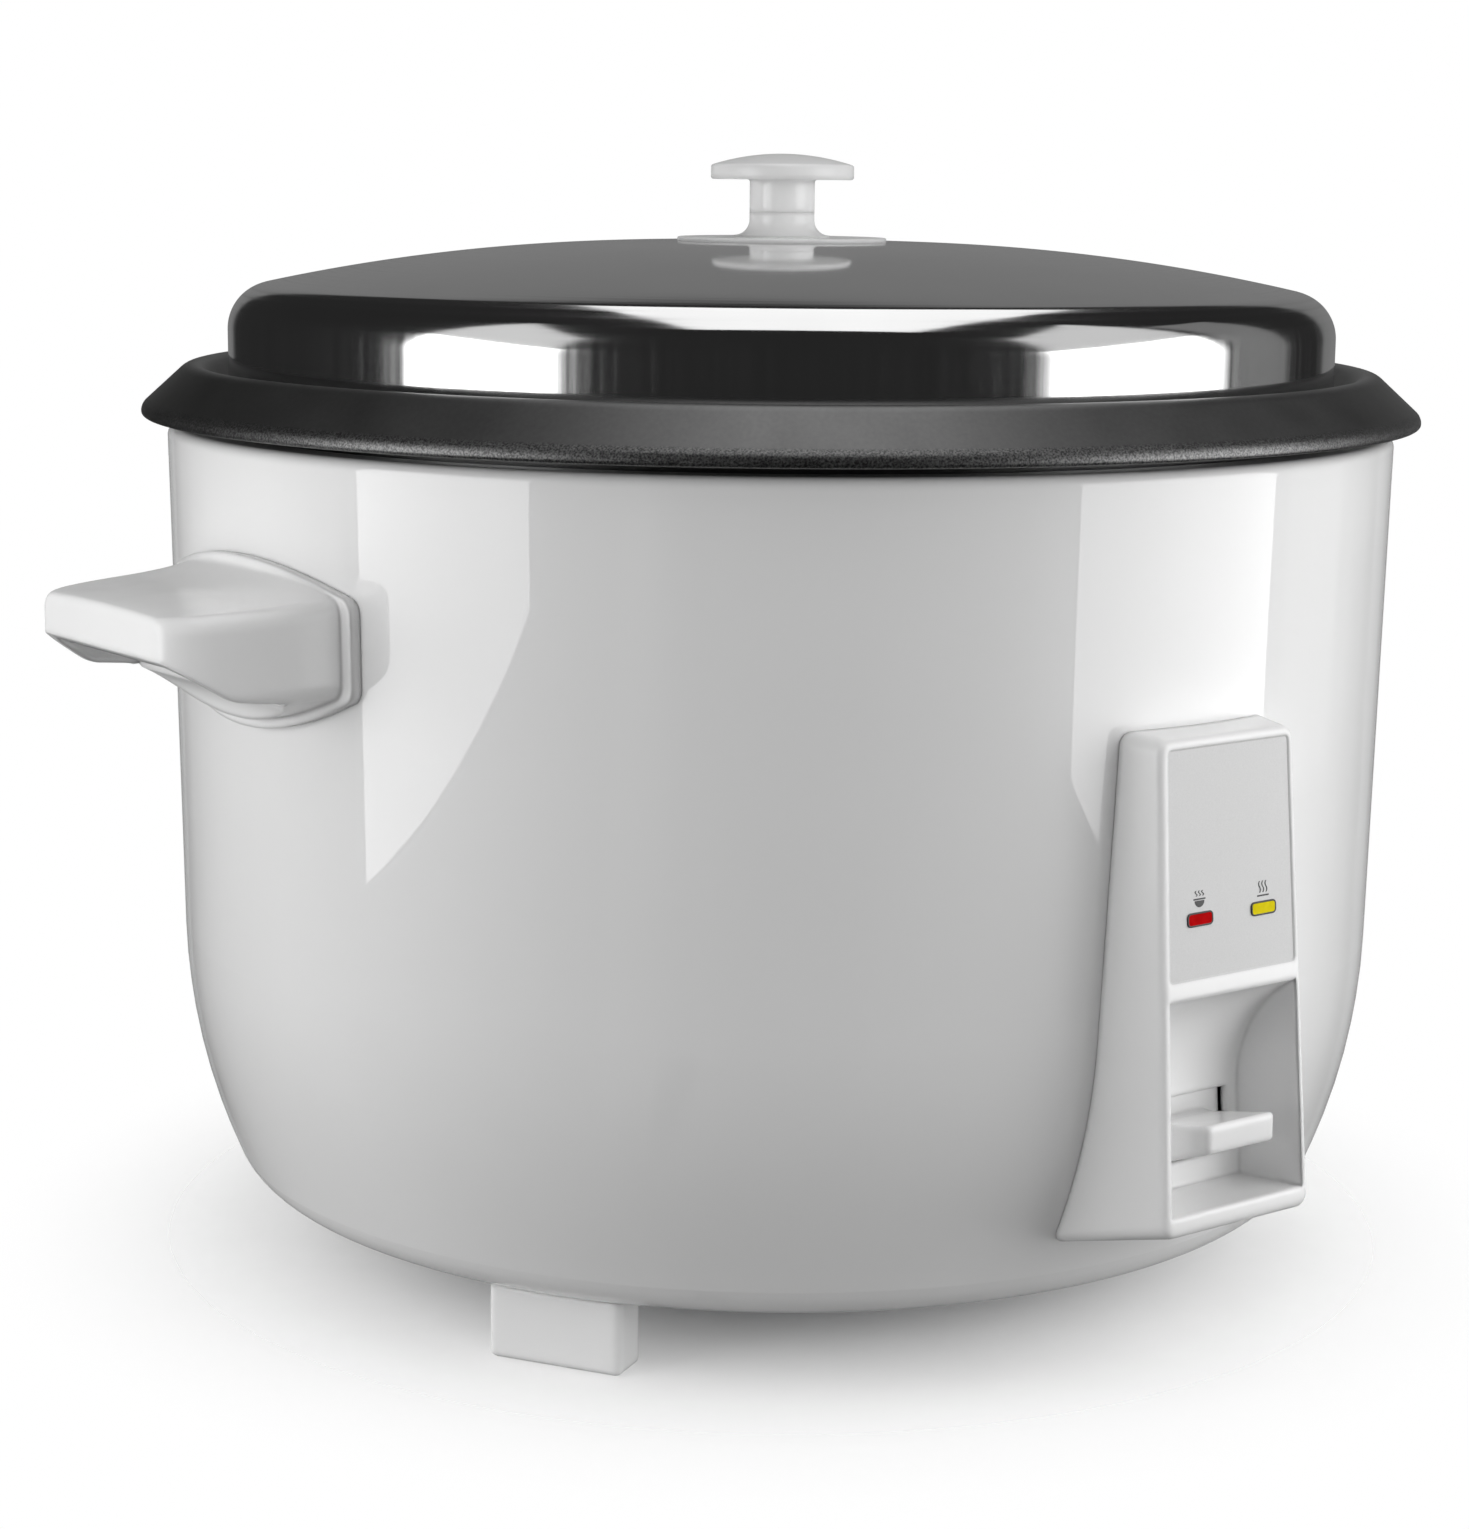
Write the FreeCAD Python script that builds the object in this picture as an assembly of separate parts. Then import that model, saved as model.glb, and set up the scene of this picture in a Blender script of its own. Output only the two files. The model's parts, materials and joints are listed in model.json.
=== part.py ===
import FreeCAD, Part
import math
import os

# Large drum rice cooker: painted steel drum, aluminium pot, steel lid and a lever switch.
# Millimetres, +Z up. The control panel faces -Y and the handles lie along X.
# The origin is on the drum's axis, on the surface that the feet stand on.

V = FreeCAD.Vector
UP = V(0, 0, 1)

# Drum
DRUM_TOP_R = 200.0
DRUM_HEIGHT = 248.8
DRUM_TAPER_DEG = 0.88
DRUM_BEND_HEIGHT = 85.3
DRUM_CORNER_R = 18.0
DRUM_SHEET = 1.2
DRUM_LIP_R = 3.5
DRUM_LIP_WIDTH = 12.0
BASE_HOLE_R = 118.0

# Feet and base plate
FOOT_HEIGHT = 22.7
FOOT_WIDTH = 44.0
FOOT_DEPTH = 15.0
FOOT_PAST_CORNER = 3.8
FOOT_EDGE_R = 2.5
FOOT_ANGLES = {"foot_front_left": -60.0, "foot_front_right": 60.0, "foot_back": 180.0}
FOOT_HEAD_RECESS = 12.0
BASE_PLATE_R = 131.0
BASE_SHEET = 1.2
BASE_SCREW_COUNT = 4
BASE_VENT_COUNT = 16
BASE_VENT_LENGTH = 34.0
BASE_VENT_WIDTH = 4.0
BASE_VENT_R = 82.0

# Heat shield and heater
SHIELD_SHEET = 0.8
SHIELD_GAP = 4.6
SHIELD_CORNER_R = 14.0
SHIELD_HOLE_R = 33.0
SHIELD_FLANGE_WIDTH = 11.0
SHIELD_DROP = 21.2
LEVER_ROOM = 16.34
HEATER_R = 135.0
HEATER_THICKNESS = 9.0
HEATER_HOLE_R = 21.5
HEATER_EDGE_R = (3.0, 2.0)
ELEMENT_R = 95.0
ELEMENT_RIB_R = 7.0
TERMINAL_R = 3.0
TERMINAL_DROP = 22.0
TERMINAL_ANGLES = (70.0, 110.0)
POST_CIRCLE_R = 120.0
POST_R = 5.0
POST_ANGLES = (-90.0, 30.0, 150.0)

# Pot and lid
RIM_OVERHANG = 8.2
RIM_GAP = 3.1
RIM_EDGE_HEIGHT = 3.0
RIM_CREST_HEIGHT = 19.2
RIM_CREST_INSET = 17.8
RIM_CREST_ROUND = 6.0
RIM_NOSE_ROUND = 4.0
POT_SHEET = 2.4
POT_SEAT_HEIGHT = 9.1
POT_SEAT_INSET = 24.6
POT_SEAT_WIDTH = 10.4
POT_SEAT_ROUND = 3.0
POT_WALL_LEAN = 2.0
POT_CORNER_R = 26.0
LID_SHEET = 0.8
LID_INSET = 27.9
LID_HEIGHT = 46.4
LID_LAND_R = 36.0
LID_DOME_R = 620.0
LID_SHOULDER_R = 15.0

# Lid knob
KNOB_WASHER_R = 34.3
KNOB_WASHER_T = 1.4
KNOB_NECK_R = 10.65
KNOB_CAP_R = 23.4
KNOB_CAP_EDGE = 4.6
KNOB_CAP_CROWN = 3.7
KNOB_SEAM_HEIGHT = 8.1
KNOB_CAP_HEIGHT = 18.6
KNOB_FLARE_R = 5.0
KNOB_FLANGE_T = 0.6
KNOB_EDGE_R = 0.9

# Handles
HANDLE_DROP = 57.1
HANDLE_REACH = 48.0
HANDLE_PLATE_HALF = 53.8
HANDLE_PLATE_T = 3.2
HANDLE_PLATE_END = (-12.0, 16.5)
HANDLE_PLATE_MID = (-25.7, 25.6)
HANDLE_CORNER_R = 5.0
HANDLE_EDGE_R = 1.6
HANDLE_RAISE = 5.5
HANDLE_ROOT_FLARE = 14.0
HANDLE_ROOT_WALL = 13.0
HANDLE_WALL = 3.0
HANDLE_SCREW_HALF = 30.0
HANDLE_GRIP_INSET = (1.2, 3.0)
HANDLE_SLOPE_RUN = 18.0
HANDLE_SLOPE_PAST = 7.0
HANDLE_SLOPE_RANGE = (1.7, 17.9)
HANDLE_SLOPE_ROUND = 12.0
# Grip sections from the root out: share of the reach, inset at the sides, drop at the ends, crown
HANDLE_SECTIONS = ((-0.25, 4.0, 0.6, 6.7), (0.08, 4.0, 0.6, 6.2), (0.24, 4.4, 0.8, 2.2),
                   (0.50, 5.8, 1.4, 0.8), (0.80, 9.0, 2.4, 1.0), (0.95, 13.5, 3.0, 1.0),
                   (1.0, 16.5, 3.4, 0.9))

# Control panel, in its own frame: u across, v up the face, w out of the face
PANEL_STANDOFF = 12.1
PANEL_TILT_DEG = 4.59
PANEL_TOP_HEIGHT = 174.3
PANEL_HEIGHT = 142.0
PANEL_HALF_TOP = 26.5
PANEL_HALF_BOTTOM = 29.1
PANEL_DRAFT_DEG = 10.0
PANEL_CORNER_R = 4.0
PANEL_EDGE_R = 2.4
PANEL_WALL = 2.3
PANEL_SKIRT = 52.0
PANEL_SCREW_V = (79.0, 131.0)
PANEL_BOSS_R = 5.0
LABEL_MARGIN = 2.4
LABEL_BOTTOM_V = 73.5
LABEL_POCKET = 1.0
LABEL_T = 0.7
LABEL_CORNER_R = 1.5
LAMP_V = 90.8
LAMP_U = 12.75
LAMP_WIDTH = 9.2
LAMP_HEIGHT = 3.2
LAMP_CORNER_R = 0.9
LAMP_BODY_R = 2.4
LAMP_END_ROOM = 1.0
LENS_BACK = 1.5
LENS_FLANGE = 1.2
HOLDER_WALL = 2.0
RECESS_BOTTOM_V = 6.0
RECESS_TOP_V = 68.2
RECESS_DEPTH = 24.5
RECESS_COVE_R = 40.0
RECESS_TAPER = 1.2
RECESS_WALL = 2.2
RECESS_CORNER_R = 1.0
SLOT_V = 23.7
SLOT_HALF_HEIGHT = 9.9
SLOT_HALF_WIDTH = 20.5
WINDOW_HALF = 29.0
WINDOW_RANGE = (-23.0, 34.0)

# Switch lever, with heights from the middle of the slot and lengths from the recess wall
KEY_HALF = 13.5
KEY_LENGTH = 26.0
KEY_TIP = (1.0, 9.4)
KEY_ROOT = (-9.0, 3.4)
KEY_TONGUE = 28.0
KEY_TONGUE_T = 6.0
KEY_EDGE_R = 1.2
SHUTTER_HALF = 19.5
SHUTTER_T = 1.6
SHUTTER_RANGE = (-16.0, 12.0)
ARM_T = 2.5
ARM_HALF = 7.0
ARM_DROP = 8.2
ARM_BEND = (28.0, 52.0)
ARM_END_GAP = 6.0
FORK_PLAY = 0.7
FORK_DEPTH = 3.5
PIVOT_R = 110.0
PIVOT_DROP = 7.0
PIN_R = 2.5
PIN_HEAD_R = 4.0
PIN_HEAD_T = 1.5
PIN_TAIL = 2.0
EAR_T = 2.0
EAR_HALF = 9.0
BRACKET_INNER = 9.5
BRACKET_T = 1.5
LEVER_TRAVEL_DEG = 3.6
SWITCH_LENGTH = 20.0
SWITCH_HALF = 5.0
SWITCH_BUTTON_R = 1.5
SWITCH_GAP = 3.0
SWITCH_EDGE_R = 1.0

# Thermostat
SENSOR_R = 20.0
SENSOR_SHEET = 1.0
SENSOR_HEIGHT = 26.0
SENSOR_EDGE_R = 2.0
FRAME_R = 30.0
FRAME_DEPTH = 12.0
FRAME_SHEET = 1.2
FRAME_FLANGE = 8.0
FRAME_EDGE_R = (2.0, 1.5)
FRAME_HOLE_R = 7.0
SPRING_R = 15.0
SPRING_WIRE_R = 0.8
SPRING_TURNS = 5
FERRITE_R = 11.0
FERRITE_T = 8.0
MAGNET_T = 8.0
ROD_R = 2.5
COLLAR_R = 6.0
COLLAR_T = 2.0
COLLAR_PLAY = 3.0
KEEP_WARM_ANGLE = 150.0
KEEP_WARM_PLACE_R = 58.0
KEEP_WARM_R = 8.0
KEEP_WARM_T = 7.0
KEEP_WARM_STUD_R = 5.0
KEEP_WARM_STUD_T = 2.0

# Fuse and terminal block
FUSE_PLACE = (-62.0, 40.0)
FUSE_R = 2.5
FUSE_LENGTH = 26.0
FUSE_DROP = 4.2
CLIP_HALF = 4.0
CLIP_BELOW = 3.4
CLIP_ROUND = 2.0
BLOCK_Y = 112.0
BLOCK_HALF = 24.0
BLOCK_DEPTH = 20.0
BLOCK_HEIGHT = 14.0
BLOCK_EDGE_R = 1.5
BLOCK_WAYS = (-15.0, -5.0, 5.0, 15.0)
BLOCK_WAY_R = 3.0

# Power inlet
INLET_DROP = 14.0
INLET_HALF = (24.0, 16.0)
INLET_SOCKET_HALF = (12.6, 8.6)
INLET_WALL = 2.0
INLET_STANDOFF = 7.2
INLET_SOCKET_DEPTH = 17.0
INLET_PIN_LENGTH = 12.0
INLET_PIN_PLACES = ((-7.0, -2.0), (7.0, -2.0), (0.0, 2.0))
INLET_PIN_HALF = (1.0, 2.0)
INLET_PIN_TAIL = 8.0
INLET_CORNER_R = 6.0
INLET_EDGE_R = 1.8
INLET_KEY_CHAMFER = 4.0
INLET_SLEEVE_SET = 2.0

# Fasteners and clearances
SCREW_R = 2.0
SCREW_HEAD_R = 3.8
SCREW_HEAD_T = 2.4
SCREW_HEAD_ROUND = 0.96
SCREW_HEAD_ROOM = 1.0
SCREW_PROUD = 1.0
BASE_SCREW_LENGTH = 7.0
PANEL_SCREW_LENGTH = 10.0
HEATER_SCREW_LENGTH = 8.0
HOLE_REACH = 12.0
NUT_R = 3.9
NUT_T = 3.0
HOLE_CLEARANCE = 0.2
SEAT = 0.15
RUNNING = 0.06
LIFT_GAP = 0.3
SLIDE_GAP = 0.4

# Places that follow from the sizes above
FLOOR_Z = FOOT_HEIGHT
DRUM_TOP_Z = FLOOR_Z + DRUM_HEIGHT
TAPER = math.radians(DRUM_TAPER_DEG)
BEND_Z = FLOOR_Z + DRUM_BEND_HEIGHT
BEND_R = (DRUM_TOP_R - (DRUM_TOP_Z - BEND_Z) * math.tan(TAPER)) / math.cos(TAPER)
BEND_CENTRE_Z = BEND_Z + BEND_R * math.sin(TAPER)
CORNER_ANGLE = math.asin((BEND_CENTRE_Z - DRUM_CORNER_R - FLOOR_Z) / (BEND_R - DRUM_CORNER_R))
CORNER_CENTRE_R = (BEND_R - DRUM_CORNER_R) * math.cos(CORNER_ANGLE)
CORNER_CENTRE_Z = FLOOR_Z + DRUM_CORNER_R

FOOT_FACE_R = CORNER_CENTRE_R + FOOT_PAST_CORNER
HANDLE_Z = DRUM_TOP_Z - HANDLE_DROP

TILT = math.radians(PANEL_TILT_DEG)
DRAFT = math.tan(math.radians(PANEL_DRAFT_DEG))
PANEL_TOP_Z = FLOOR_Z + PANEL_TOP_HEIGHT
PANEL_V = PANEL_HEIGHT / math.cos(TILT)
PANEL_TOP_Y = -(DRUM_TOP_R - (DRUM_TOP_Z - PANEL_TOP_Z) * math.tan(TAPER) + PANEL_STANDOFF)
PANEL_FOOT = V(0, PANEL_TOP_Y - PANEL_HEIGHT * math.tan(TILT), PANEL_TOP_Z - PANEL_HEIGHT)
PANEL_PLACE = FreeCAD.Placement(PANEL_FOOT, FreeCAD.Rotation(V(1, 0, 0), 90 - PANEL_TILT_DEG))
SLOT = PANEL_PLACE.multVec(V(0, SLOT_V, -RECESS_DEPTH))
COVE_W = RECESS_COVE_R - RECESS_DEPTH
COVE_V = RECESS_TOP_V - math.sqrt(RECESS_COVE_R ** 2 - COVE_W ** 2)
LENS_BACK_W = -PANEL_WALL - LENS_BACK

ARM_TOP_Z = SLOT.z + KEY_ROOT[0]
ARM_INNER_Z = ARM_TOP_Z - ARM_DROP
PIVOT = V(0, -PIVOT_R, ARM_INNER_Z - ARM_T - PIVOT_DROP)

SHIELD_Z = ARM_TOP_Z + LEVER_ROOM
INLET_Z = SHIELD_Z - INLET_DROP
HEATER_TOP_Z = SHIELD_Z + SHIELD_SHEET + SHIELD_DROP
HEATER_LOW_Z = HEATER_TOP_Z - HEATER_THICKNESS
FRAME_Z = SHIELD_Z - FRAME_DEPTH
SENSOR_ROOF_Z = HEATER_TOP_Z - SENSOR_SHEET
MAGNET_TOP_Z = SENSOR_ROOF_Z - FERRITE_T - LIFT_GAP

POT_FLOOR_Z = HEATER_TOP_Z + LIFT_GAP + POT_SHEET
RIM_R = DRUM_TOP_R + RIM_OVERHANG
RIM_EDGE_Z = DRUM_TOP_Z + RIM_GAP
SEAT_Z = RIM_EDGE_Z + POT_SEAT_HEIGHT
POT_WALL_R = RIM_R - POT_SEAT_INSET - POT_SEAT_WIDTH
SHIELD_R = POT_WALL_R + POT_SHEET + SHIELD_GAP + SHIELD_SHEET
LID_R = RIM_R - LID_INSET
LID_EDGE_Z = SEAT_Z + LIFT_GAP
LAND_Z = LID_EDGE_Z + LID_HEIGHT
KNOB_Z = LAND_Z + KNOB_WASHER_T


def flat(r, z):
    return V(r, 0, z)


def line(a, b):
    return Part.LineSegment(a, b).toShape()


def arc(centre_r, centre_z, radius, start, end):
    """Arc in the section plane, with angles in radians from the outward direction."""
    def at(angle):
        return flat(centre_r + radius * math.cos(angle), centre_z + radius * math.sin(angle))
    return Part.Arc(at(start), at((start + end) / 2), at(end)).toShape()


def corner(before, point, after, radius):
    """Tangent points and middle of the arc that rounds one corner."""
    one = (before - point).normalize()
    two = (after - point).normalize()
    half = one.getAngle(two) / 2
    middle = (one + two).normalize()
    reach = radius / math.tan(half)
    return point + one * reach, point + middle * (radius / math.sin(half) - radius), point + two * reach


def path(points):
    """Edges along (point, radius) corners, with each inner corner rounded."""
    edges = []
    here = points[0][0]
    for i in range(1, len(points) - 1):
        point, radius = points[i]
        start, middle, end = corner(here, point, points[i + 1][0], radius)
        edges += [line(here, start), Part.Arc(start, middle, end).toShape()]
        here = end
    edges.append(line(here, points[-1][0]))
    return edges


def loop(points, radius):
    """Closed wire through the points, with every corner rounded."""
    rounds = []
    for i, point in enumerate(points):
        rounds.append(corner(points[i - 1], point, points[(i + 1) % len(points)], radius))
    edges = []
    for i, (start, middle, end) in enumerate(rounds):
        edges += [line(rounds[i - 1][2], start), Part.Arc(start, middle, end).toShape()]
    return Part.Wire(edges)


def turned(face):
    return face.revolve(V(0, 0, 0), UP, 360)


def turned_loop(edges):
    return turned(Part.Face(Part.Wire(edges)))


def turned_sheet(edges, thickness):
    """Sheet metal turned about the axis; a positive thickness lies left of the path."""
    return turned(Part.Wire(edges).makeOffset2D(thickness, fill=True, openResult=True))


def block(low, high):
    return Part.makeBox(high[0] - low[0], high[1] - low[1], high[2] - low[2], V(*low))


def rod(radius, length, start, direction=UP):
    return Part.makeCylinder(radius, length, start, direction)


def slab(points, half):
    """Outline in the (distance from the axis, height) plane of the lever, thickened across X."""
    wire = Part.makePolygon([V(-half, -n, z) for n, z in points + points[:1]])
    return Part.Face(wire).extrude(V(2 * half, 0, 0))


def around(angle_deg, radius, z):
    """Point at an angle from the panel side, counted towards +X."""
    angle = math.radians(angle_deg)
    return V(radius * math.sin(angle), -radius * math.cos(angle), z)


def screw(seat, direction, length):
    """Pan head screw whose head rests on the seat and whose shank runs along the direction."""
    head = rod(SCREW_HEAD_R, SCREW_HEAD_T, seat - direction * SCREW_HEAD_T, direction)
    rim = [edge for edge in head.Edges if (edge.CenterOfMass - seat).Length > SCREW_HEAD_T * 0.9
           and edge.Curve.TypeId == "Part::GeomCircle"]
    return head.makeFillet(SCREW_HEAD_ROUND, rim).fuse(rod(SCREW_R, length, seat, direction))


def drum_arcs(grow):
    """Rounded corner and ball shaped lower wall of the drum, moved outwards by grow."""
    return [arc(CORNER_CENTRE_R, CORNER_CENTRE_Z, DRUM_CORNER_R + grow, -math.pi / 2, -CORNER_ANGLE),
            arc(0, BEND_CENTRE_Z, BEND_R + grow, -CORNER_ANGLE, -TAPER)]


def drum_wall(z, grow=0.0):
    """Outside radius of the drum at a height."""
    if z < BEND_Z:
        return math.sqrt((BEND_R + grow) ** 2 - (BEND_CENTRE_Z - z) ** 2)
    return DRUM_TOP_R + grow / math.cos(TAPER) - (DRUM_TOP_Z - z) * math.tan(TAPER)


def drum_block(grow):
    """Solid drum, used to shape what seats on the wall."""
    low = FLOOR_Z - grow
    arcs = drum_arcs(grow)
    top = flat(drum_wall(DRUM_TOP_Z, grow), DRUM_TOP_Z)
    edges = [line(flat(0, low), flat(CORNER_CENTRE_R, low))] + arcs
    edges += [line(arcs[-1].Vertexes[-1].Point, top), line(top, flat(0, DRUM_TOP_Z))]
    edges.append(line(flat(0, DRUM_TOP_Z), flat(0, low)))
    return turned_loop(edges)


def drum_window():
    """Opening behind the panel for the recess and the lever."""
    return block((-WINDOW_HALF, -DRUM_TOP_R * 1.2, SLOT.z + WINDOW_RANGE[0]),
                 (WINDOW_HALF, -DRUM_TOP_R * 0.8, SLOT.z + WINDOW_RANGE[1]))


def inlet_window():
    half_u = INLET_SOCKET_HALF[0] + INLET_WALL + HOLE_CLEARANCE
    half_z = INLET_SOCKET_HALF[1] + INLET_WALL + HOLE_CLEARANCE
    return block((-half_u, DRUM_TOP_R * 0.8, INLET_Z - half_z), (half_u, DRUM_TOP_R * 1.2, INLET_Z + half_z))


def handle_screw_places():
    """Seat and direction of each screw, from inside the drum out into a handle."""
    wall = math.sqrt((drum_wall(HANDLE_Z) - DRUM_SHEET) ** 2 - (HANDLE_SCREW_HALF + SCREW_HEAD_R) ** 2)
    for side in (-1, 1):
        for y in (-HANDLE_SCREW_HALF, HANDLE_SCREW_HALF):
            yield V(side * (wall - SEAT), y, HANDLE_Z), V(side, 0, 0)


def panel_screw_places():
    for v in PANEL_SCREW_V:
        face = PANEL_PLACE.multVec(V(0, v, 0))
        yield V(0, -(drum_wall(face.z) - DRUM_SHEET - SEAT * 2), face.z), V(0, -1, 0)


def foot_screw_places():
    for angle in FOOT_ANGLES.values():
        yield around(angle, FOOT_FACE_R - FOOT_DEPTH / 2, FOOT_HEAD_RECESS), UP


def base_screw_places():
    radius = (BASE_HOLE_R + BASE_PLATE_R) / 2
    for i in range(BASE_SCREW_COUNT):
        yield around(45 + 360 * i / BASE_SCREW_COUNT, radius, FLOOR_Z - BASE_SHEET), UP


def heater_screw_places():
    for angle in POST_ANGLES:
        yield around(angle, POST_CIRCLE_R, SHIELD_Z), UP


def holes(places, reach, radius=SCREW_R + HOLE_CLEARANCE):
    return [rod(radius, reach, seat - along * HOLE_CLEARANCE, along) for seat, along in places]


def screws(places, length):
    return Part.Compound([screw(seat, along, length) for seat, along in places])


def outer_shell():
    arcs = drum_arcs(0)
    top = flat(drum_wall(DRUM_TOP_Z), DRUM_TOP_Z)
    edges = [line(flat(BASE_HOLE_R, FLOOR_Z), flat(CORNER_CENTRE_R, FLOOR_Z))] + arcs
    lip_end = flat(DRUM_TOP_R - DRUM_LIP_WIDTH, DRUM_TOP_Z)
    edges += path([(arcs[-1].Vertexes[-1].Point, 0), (top, DRUM_LIP_R), (lip_end, 0)])
    cuts = [drum_window(), inlet_window()]
    cuts += holes(handle_screw_places(), HOLE_REACH)
    cuts += holes(panel_screw_places(), HOLE_REACH)
    cuts += holes(foot_screw_places(), FOOT_HEIGHT)
    cuts += holes(base_screw_places(), HOLE_REACH)
    return turned_sheet(edges, DRUM_SHEET).cut(cuts)


def base_plate():
    plate = rod(BASE_PLATE_R, BASE_SHEET, V(0, 0, FLOOR_Z - BASE_SHEET))
    half = BASE_VENT_LENGTH / 2 - BASE_VENT_WIDTH / 2
    cuts = holes(base_screw_places(), HOLE_REACH)
    for i in range(BASE_VENT_COUNT):
        ends = [V(BASE_VENT_R + side * half, 0, FLOOR_Z - 2 * BASE_SHEET) for side in (-1, 1)]
        vent = block((ends[0].x, -BASE_VENT_WIDTH / 2, ends[0].z),
                     (ends[1].x, BASE_VENT_WIDTH / 2, FLOOR_Z + BASE_SHEET))
        vent = vent.fuse([rod(BASE_VENT_WIDTH / 2, 3 * BASE_SHEET, end) for end in ends])
        vent.rotate(V(0, 0, 0), UP, 360 * i / BASE_VENT_COUNT)
        cuts.append(vent)
    return plate.cut(cuts)


def foot(angle_deg, drum):
    """Moulded block that follows the drum's corner, with a recess for its screw head."""
    body = block((-FOOT_WIDTH / 2, -FOOT_FACE_R, 0),
                 (FOOT_WIDTH / 2, FOOT_DEPTH - FOOT_FACE_R, FOOT_HEIGHT + DRUM_CORNER_R / 3))
    edges = [e for e in body.Edges if abs(e.tangentAt(0).z) > 0.9 or e.CenterOfMass.z < 0.01]
    body = body.makeFillet(FOOT_EDGE_R, edges).cut(drum)
    middle = V(0, FOOT_DEPTH / 2 - FOOT_FACE_R, 0)
    body = body.cut([rod(SCREW_HEAD_R + SCREW_HEAD_ROOM, FOOT_HEAD_RECESS, middle),
                     rod(SCREW_R + HOLE_CLEARANCE, FOOT_HEIGHT * 2, middle)])
    body.rotate(V(0, 0, 0), UP, angle_deg)
    return body


def foot_nuts():
    nuts = []
    for seat, along in foot_screw_places():
        seat = V(seat.x, seat.y, FLOOR_Z + DRUM_SHEET)
        ring = [seat + V(NUT_R * math.cos(k * math.pi / 3), NUT_R * math.sin(k * math.pi / 3), 0)
                for k in range(7)]
        nut = Part.Face(Part.makePolygon(ring)).extrude(UP * NUT_T)
        nuts.append(nut.cut(rod(SCREW_R + RUNNING, NUT_T * 3, seat - UP * NUT_T)))
    return Part.Compound(nuts)


def heat_shield():
    flange_z = DRUM_TOP_Z - DRUM_SHEET - SHIELD_SHEET
    edges = path([(flat(SHIELD_HOLE_R, SHIELD_Z), 0), (flat(SHIELD_R, SHIELD_Z), SHIELD_CORNER_R),
                  (flat(SHIELD_R, flange_z), SHIELD_SHEET),
                  (flat(SHIELD_R + SHIELD_FLANGE_WIDTH, flange_z), 0)])
    cuts = holes(heater_screw_places(), HOLE_REACH)
    cuts += [rod(2 * TERMINAL_R, 3 * SHIELD_SHEET, around(angle, ELEMENT_R, SHIELD_Z - SHIELD_SHEET))
             for angle in TERMINAL_ANGLES]
    return turned_sheet(edges, SHIELD_SHEET).cut(cuts)


def heater_plate():
    """Cast disc with the buried element showing as a half round rib below."""
    rib = [(ELEMENT_R + ELEMENT_RIB_R, HEATER_LOW_Z), (ELEMENT_R - ELEMENT_RIB_R, HEATER_LOW_Z)]
    edges = path([(flat(HEATER_HOLE_R, HEATER_TOP_Z), 0), (flat(HEATER_R, HEATER_TOP_Z), HEATER_EDGE_R[0]),
                  (flat(HEATER_R, HEATER_LOW_Z), HEATER_EDGE_R[1]), (flat(*rib[0]), 0)])
    edges.append(arc(ELEMENT_R, HEATER_LOW_Z, ELEMENT_RIB_R, 0, -math.pi))
    edges += [line(flat(*rib[1]), flat(HEATER_HOLE_R, HEATER_LOW_Z)),
              line(flat(HEATER_HOLE_R, HEATER_LOW_Z), flat(HEATER_HOLE_R, HEATER_TOP_Z))]
    return turned_loop(edges)


def heater_terminals():
    low = HEATER_LOW_Z - ELEMENT_RIB_R
    return Part.Compound([rod(TERMINAL_R, TERMINAL_DROP, around(angle, ELEMENT_R, low - TERMINAL_DROP))
                          for angle in TERMINAL_ANGLES])


def heater_posts():
    low = SHIELD_Z + SHIELD_SHEET
    height = HEATER_LOW_Z - low
    posts = []
    for angle in POST_ANGLES:
        place = around(angle, POST_CIRCLE_R, low)
        posts.append(rod(POST_R, height, place).cut(rod(SCREW_R + HOLE_CLEARANCE, height, place)))
    return Part.Compound(posts)


def inner_pot():
    """One sheet from the floor up to the lid seat, over the crest and down to the rim's edge."""
    edges = path([(flat(0, POT_FLOOR_Z), 0),
                  (flat(POT_WALL_R - POT_WALL_LEAN, POT_FLOOR_Z), POT_CORNER_R),
                  (flat(POT_WALL_R, SEAT_Z), POT_SEAT_ROUND),
                  (flat(POT_WALL_R + POT_SEAT_WIDTH, SEAT_Z), POT_SEAT_ROUND),
                  (flat(RIM_R - RIM_CREST_INSET, RIM_EDGE_Z + RIM_CREST_HEIGHT), RIM_CREST_ROUND),
                  (flat(RIM_R, RIM_EDGE_Z + RIM_EDGE_HEIGHT), RIM_NOSE_ROUND),
                  (flat(RIM_R, RIM_EDGE_Z), 0)])
    return turned_sheet(edges, -POT_SHEET)


def lid():
    """Flat land, shallow dome, rounded shoulder and upright skirt."""
    dome_z = LAND_Z - LID_DOME_R
    centre_r = LID_R - LID_SHOULDER_R
    run = centre_r - LID_LAND_R
    centre_z = dome_z + math.sqrt((LID_DOME_R - LID_SHOULDER_R) ** 2 - run ** 2)
    meet = math.atan2(centre_z - dome_z, run)
    edges = [line(flat(SCREW_R + HOLE_CLEARANCE, LAND_Z), flat(LID_LAND_R, LAND_Z)),
             arc(LID_LAND_R, dome_z, LID_DOME_R, math.pi / 2, meet),
             arc(centre_r, centre_z, LID_SHOULDER_R, meet, 0),
             line(flat(LID_R, centre_z), flat(LID_R, LID_EDGE_Z))]
    return turned_sheet(edges, -LID_SHEET)


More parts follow.
